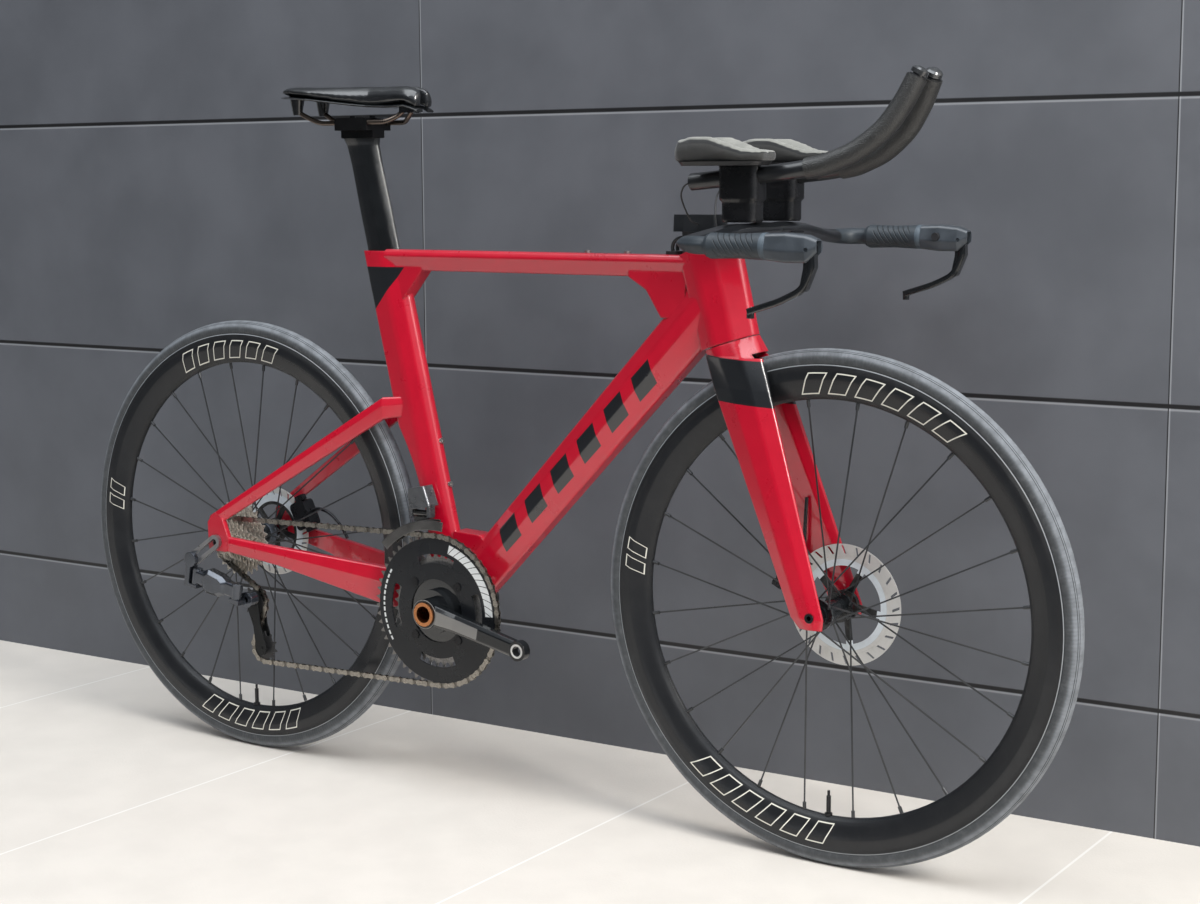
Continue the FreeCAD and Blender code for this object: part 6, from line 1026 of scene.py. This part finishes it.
def floor_finish(colours):
    """Pale stone floor with faint joints, which gloss mirrors as a darker road further off."""
    made, tree, shader = new_finish("floor_stone")
    ahead, aside, _ = places(tree)
    texture = uneven(tree, shader, 260.0, 0.72, 0.85)
    stone = tuple(colours.floor_stone)
    shade = mixed(tree, texture["Mottle"], tinted(stone, 0.95), stone)
    joint = calc(tree, "FRACT", calc(tree, "MULTIPLY_ADD", ahead, 1 / SLAB_WIDTH, SLAB_START))
    line = band(tree, joint, 0.497, 0.503, 0.001)
    jointed = mixed(tree, calc(tree, "MULTIPLY", line, 0.4), shade, (0.9, 0.9, 0.88))
    seen = add(tree, "ShaderNodeLightPath").outputs["Is Camera Ray"]
    far_off = step(tree, aside, ROAD_FROM, ROAD_FROM - ROAD_SOFT)
    road = calc(tree, "MULTIPLY", far_off, calc(tree, "SUBTRACT", 1.0, seen))
    feed(tree, shader["Base Color"], mixed(tree, road, jointed, tuple(colours.floor_road)))
    feed(tree, shader["Normal"], bumped(tree, texture["Grain"], 0.15, 0.002))
    return made


def plain_sheet(name, material):
    """A flat sheet in the floor's plane, ready to be placed."""
    bpy.ops.object.select_all(action="DESELECT")
    bpy.ops.mesh.primitive_plane_add(size=1)
    sheet = bpy.context.object
    sheet.name = name
    sheet.data.materials.append(material)
    return sheet


def lamp(name, place, aim, size, power, shade):
    """A soft lamp that looks at a point."""
    bpy.ops.object.light_add(type="AREA", location=place)
    made = bpy.context.object
    made.name = name
    made.data.shape = "RECTANGLE"
    made.data.size, made.data.size_y = size
    made.data.energy = power
    made.data.color = shade
    made.rotation_mode = "QUATERNION"
    made.rotation_quaternion = (Vector(aim) - Vector(place)).to_track_quat("-Z", "Y")


class BIKE_OT_stage(bpy.types.Operator):
    """Make the floor, the wall, the lamps and the camera"""

    bl_idname = "bike.stage"
    bl_label = "Stage"

    def execute(self, context):
        stage = context.scene.bike_stage
        colours = context.scene.bike_colours
        floor = plain_sheet("stage_floor", floor_finish(colours))
        floor.scale = (stage.floor_size, stage.floor_size, 1)
        bpy.ops.object.transform_apply()
        wall = plain_sheet("stage_wall", wall_finish(colours))
        wall.scale = (stage.wall_width, stage.wall_height, 1)
        wall.rotation_euler = (math.pi / 2, 0, 0)
        wall.location = (0, 0, stage.wall_height / 2)
        bpy.ops.object.transform_apply()
        wall.rotation_euler = (0, 0, stage.wall_turn)
        wall.location = (0, stage.wall_gap, 0)
        context.scene.view_settings.view_transform = "Standard"
        world = context.scene.world or bpy.data.worlds.new("Sky")
        context.scene.world = world
        world.use_nodes = True
        self.paint_sky(world.node_tree)
        lamp("key_lamp", (4.2, -1.2, 3.0), (0, 0, 0.5), (1.4, 1.4), 205, (1.0, 0.97, 0.92))
        lamp("sky_lamp", (0.2, -1.4, 4.2), (0, 0, 0.4), (5.0, 3.0), 165, (0.93, 0.97, 1.0))
        lamp("back_lamp", (-0.6, 3.2, 2.4), (0, 0, 0.5), (3.0, 2.0), 85, (0.95, 0.98, 1.0))
        self.place_camera(context, stage)
        return {"FINISHED"}

    def paint_sky(self, tree):
        """Bright overhead and in front of the bike, dim along the horizon, plain pale behind the bike."""
        way = add(tree, "ShaderNodeSeparateXYZ", {0: add(tree, "ShaderNodeTexCoord").outputs["Generated"]})
        rise = calc(tree, "MULTIPLY_ADD", way.outputs[0], SKY_FRONT, way.outputs[2])
        glow = mixed(tree, step(tree, rise, SKY_LOW, SKY_HIGH), SKY_DIM, SKY_BRIGHT)
        seen = add(tree, "ShaderNodeLightPath").outputs["Is Camera Ray"]
        sky = tree.nodes["Background"]
        feed(tree, sky.inputs["Color"], mixed(tree, seen, glow, SKY_BEHIND))

    def place_camera(self, context, stage):
        """Stand the camera where the photograph was taken."""
        turn, drop, roll = stage.camera_turn, stage.camera_drop, stage.camera_roll
        back = Vector((math.sin(turn) * math.cos(drop), -math.cos(turn) * math.cos(drop), math.sin(drop)))
        level = Vector((math.cos(turn), math.sin(turn), 0))
        rise = back.cross(level)
        right = level * math.cos(roll) + rise * math.sin(roll)
        up = rise * math.cos(roll) - level * math.sin(roll)
        bpy.ops.object.camera_add(location=stage.camera_place)
        camera = context.object
        camera.name = "photo_camera"
        camera.data.sensor_fit = "HORIZONTAL"
        camera.data.sensor_width = 36
        camera.data.lens = stage.camera_lens
        camera.data.clip_end = 100
        turned = Matrix((right, up, back)).transposed().to_4x4()
        camera.matrix_world = Matrix.Translation(stage.camera_place) @ turned
        context.scene.camera = camera


class BIKE_PT_sidebar(bpy.types.Panel):
    """Lists the steps that dress the bike"""

    bl_label = "Time trial bike"
    bl_idname = "BIKE_PT_sidebar"
    bl_space_type = "VIEW_3D"
    bl_region_type = "UI"
    bl_category = "Bike"

    def draw(self, context):
        for step_class in STEPS:
            self.layout.operator(step_class.bl_idname)
        for group in (context.scene.bike_colours, context.scene.bike_sizes, context.scene.bike_stage):
            for name in group.__annotations__:
                self.layout.prop(group, name)


STEPS = (BIKE_OT_stage, BIKE_OT_painted_frame, BIKE_OT_wheels, BIKE_OT_drive, BIKE_OT_cockpit,
         BIKE_OT_arm_pads, BIKE_OT_saddle)
SETTINGS = {"bike_colours": BikeColours, "bike_sizes": BikeSizes, "bike_stage": BikeStage}


def register():
    """Register the settings, the steps and the panel."""
    for name, group in SETTINGS.items():
        bpy.utils.register_class(group)
        setattr(bpy.types.Scene, name, PointerProperty(type=group))
    for made in (*STEPS, BIKE_PT_sidebar):
        bpy.utils.register_class(made)


def unregister():
    """Take everything out again."""
    for made in reversed((*STEPS, BIKE_PT_sidebar)):
        bpy.utils.unregister_class(made)
    for name, group in SETTINGS.items():
        delattr(bpy.types.Scene, name)
        bpy.utils.unregister_class(group)


def main():
    """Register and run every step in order."""
    register()
    bpy.ops.bike.stage()
    bpy.ops.bike.painted_frame()
    bpy.ops.bike.wheels()
    bpy.ops.bike.drive()
    bpy.ops.bike.cockpit()
    bpy.ops.bike.arm_pads()
    bpy.ops.bike.saddle()


if __name__ == "__main__":
    main()
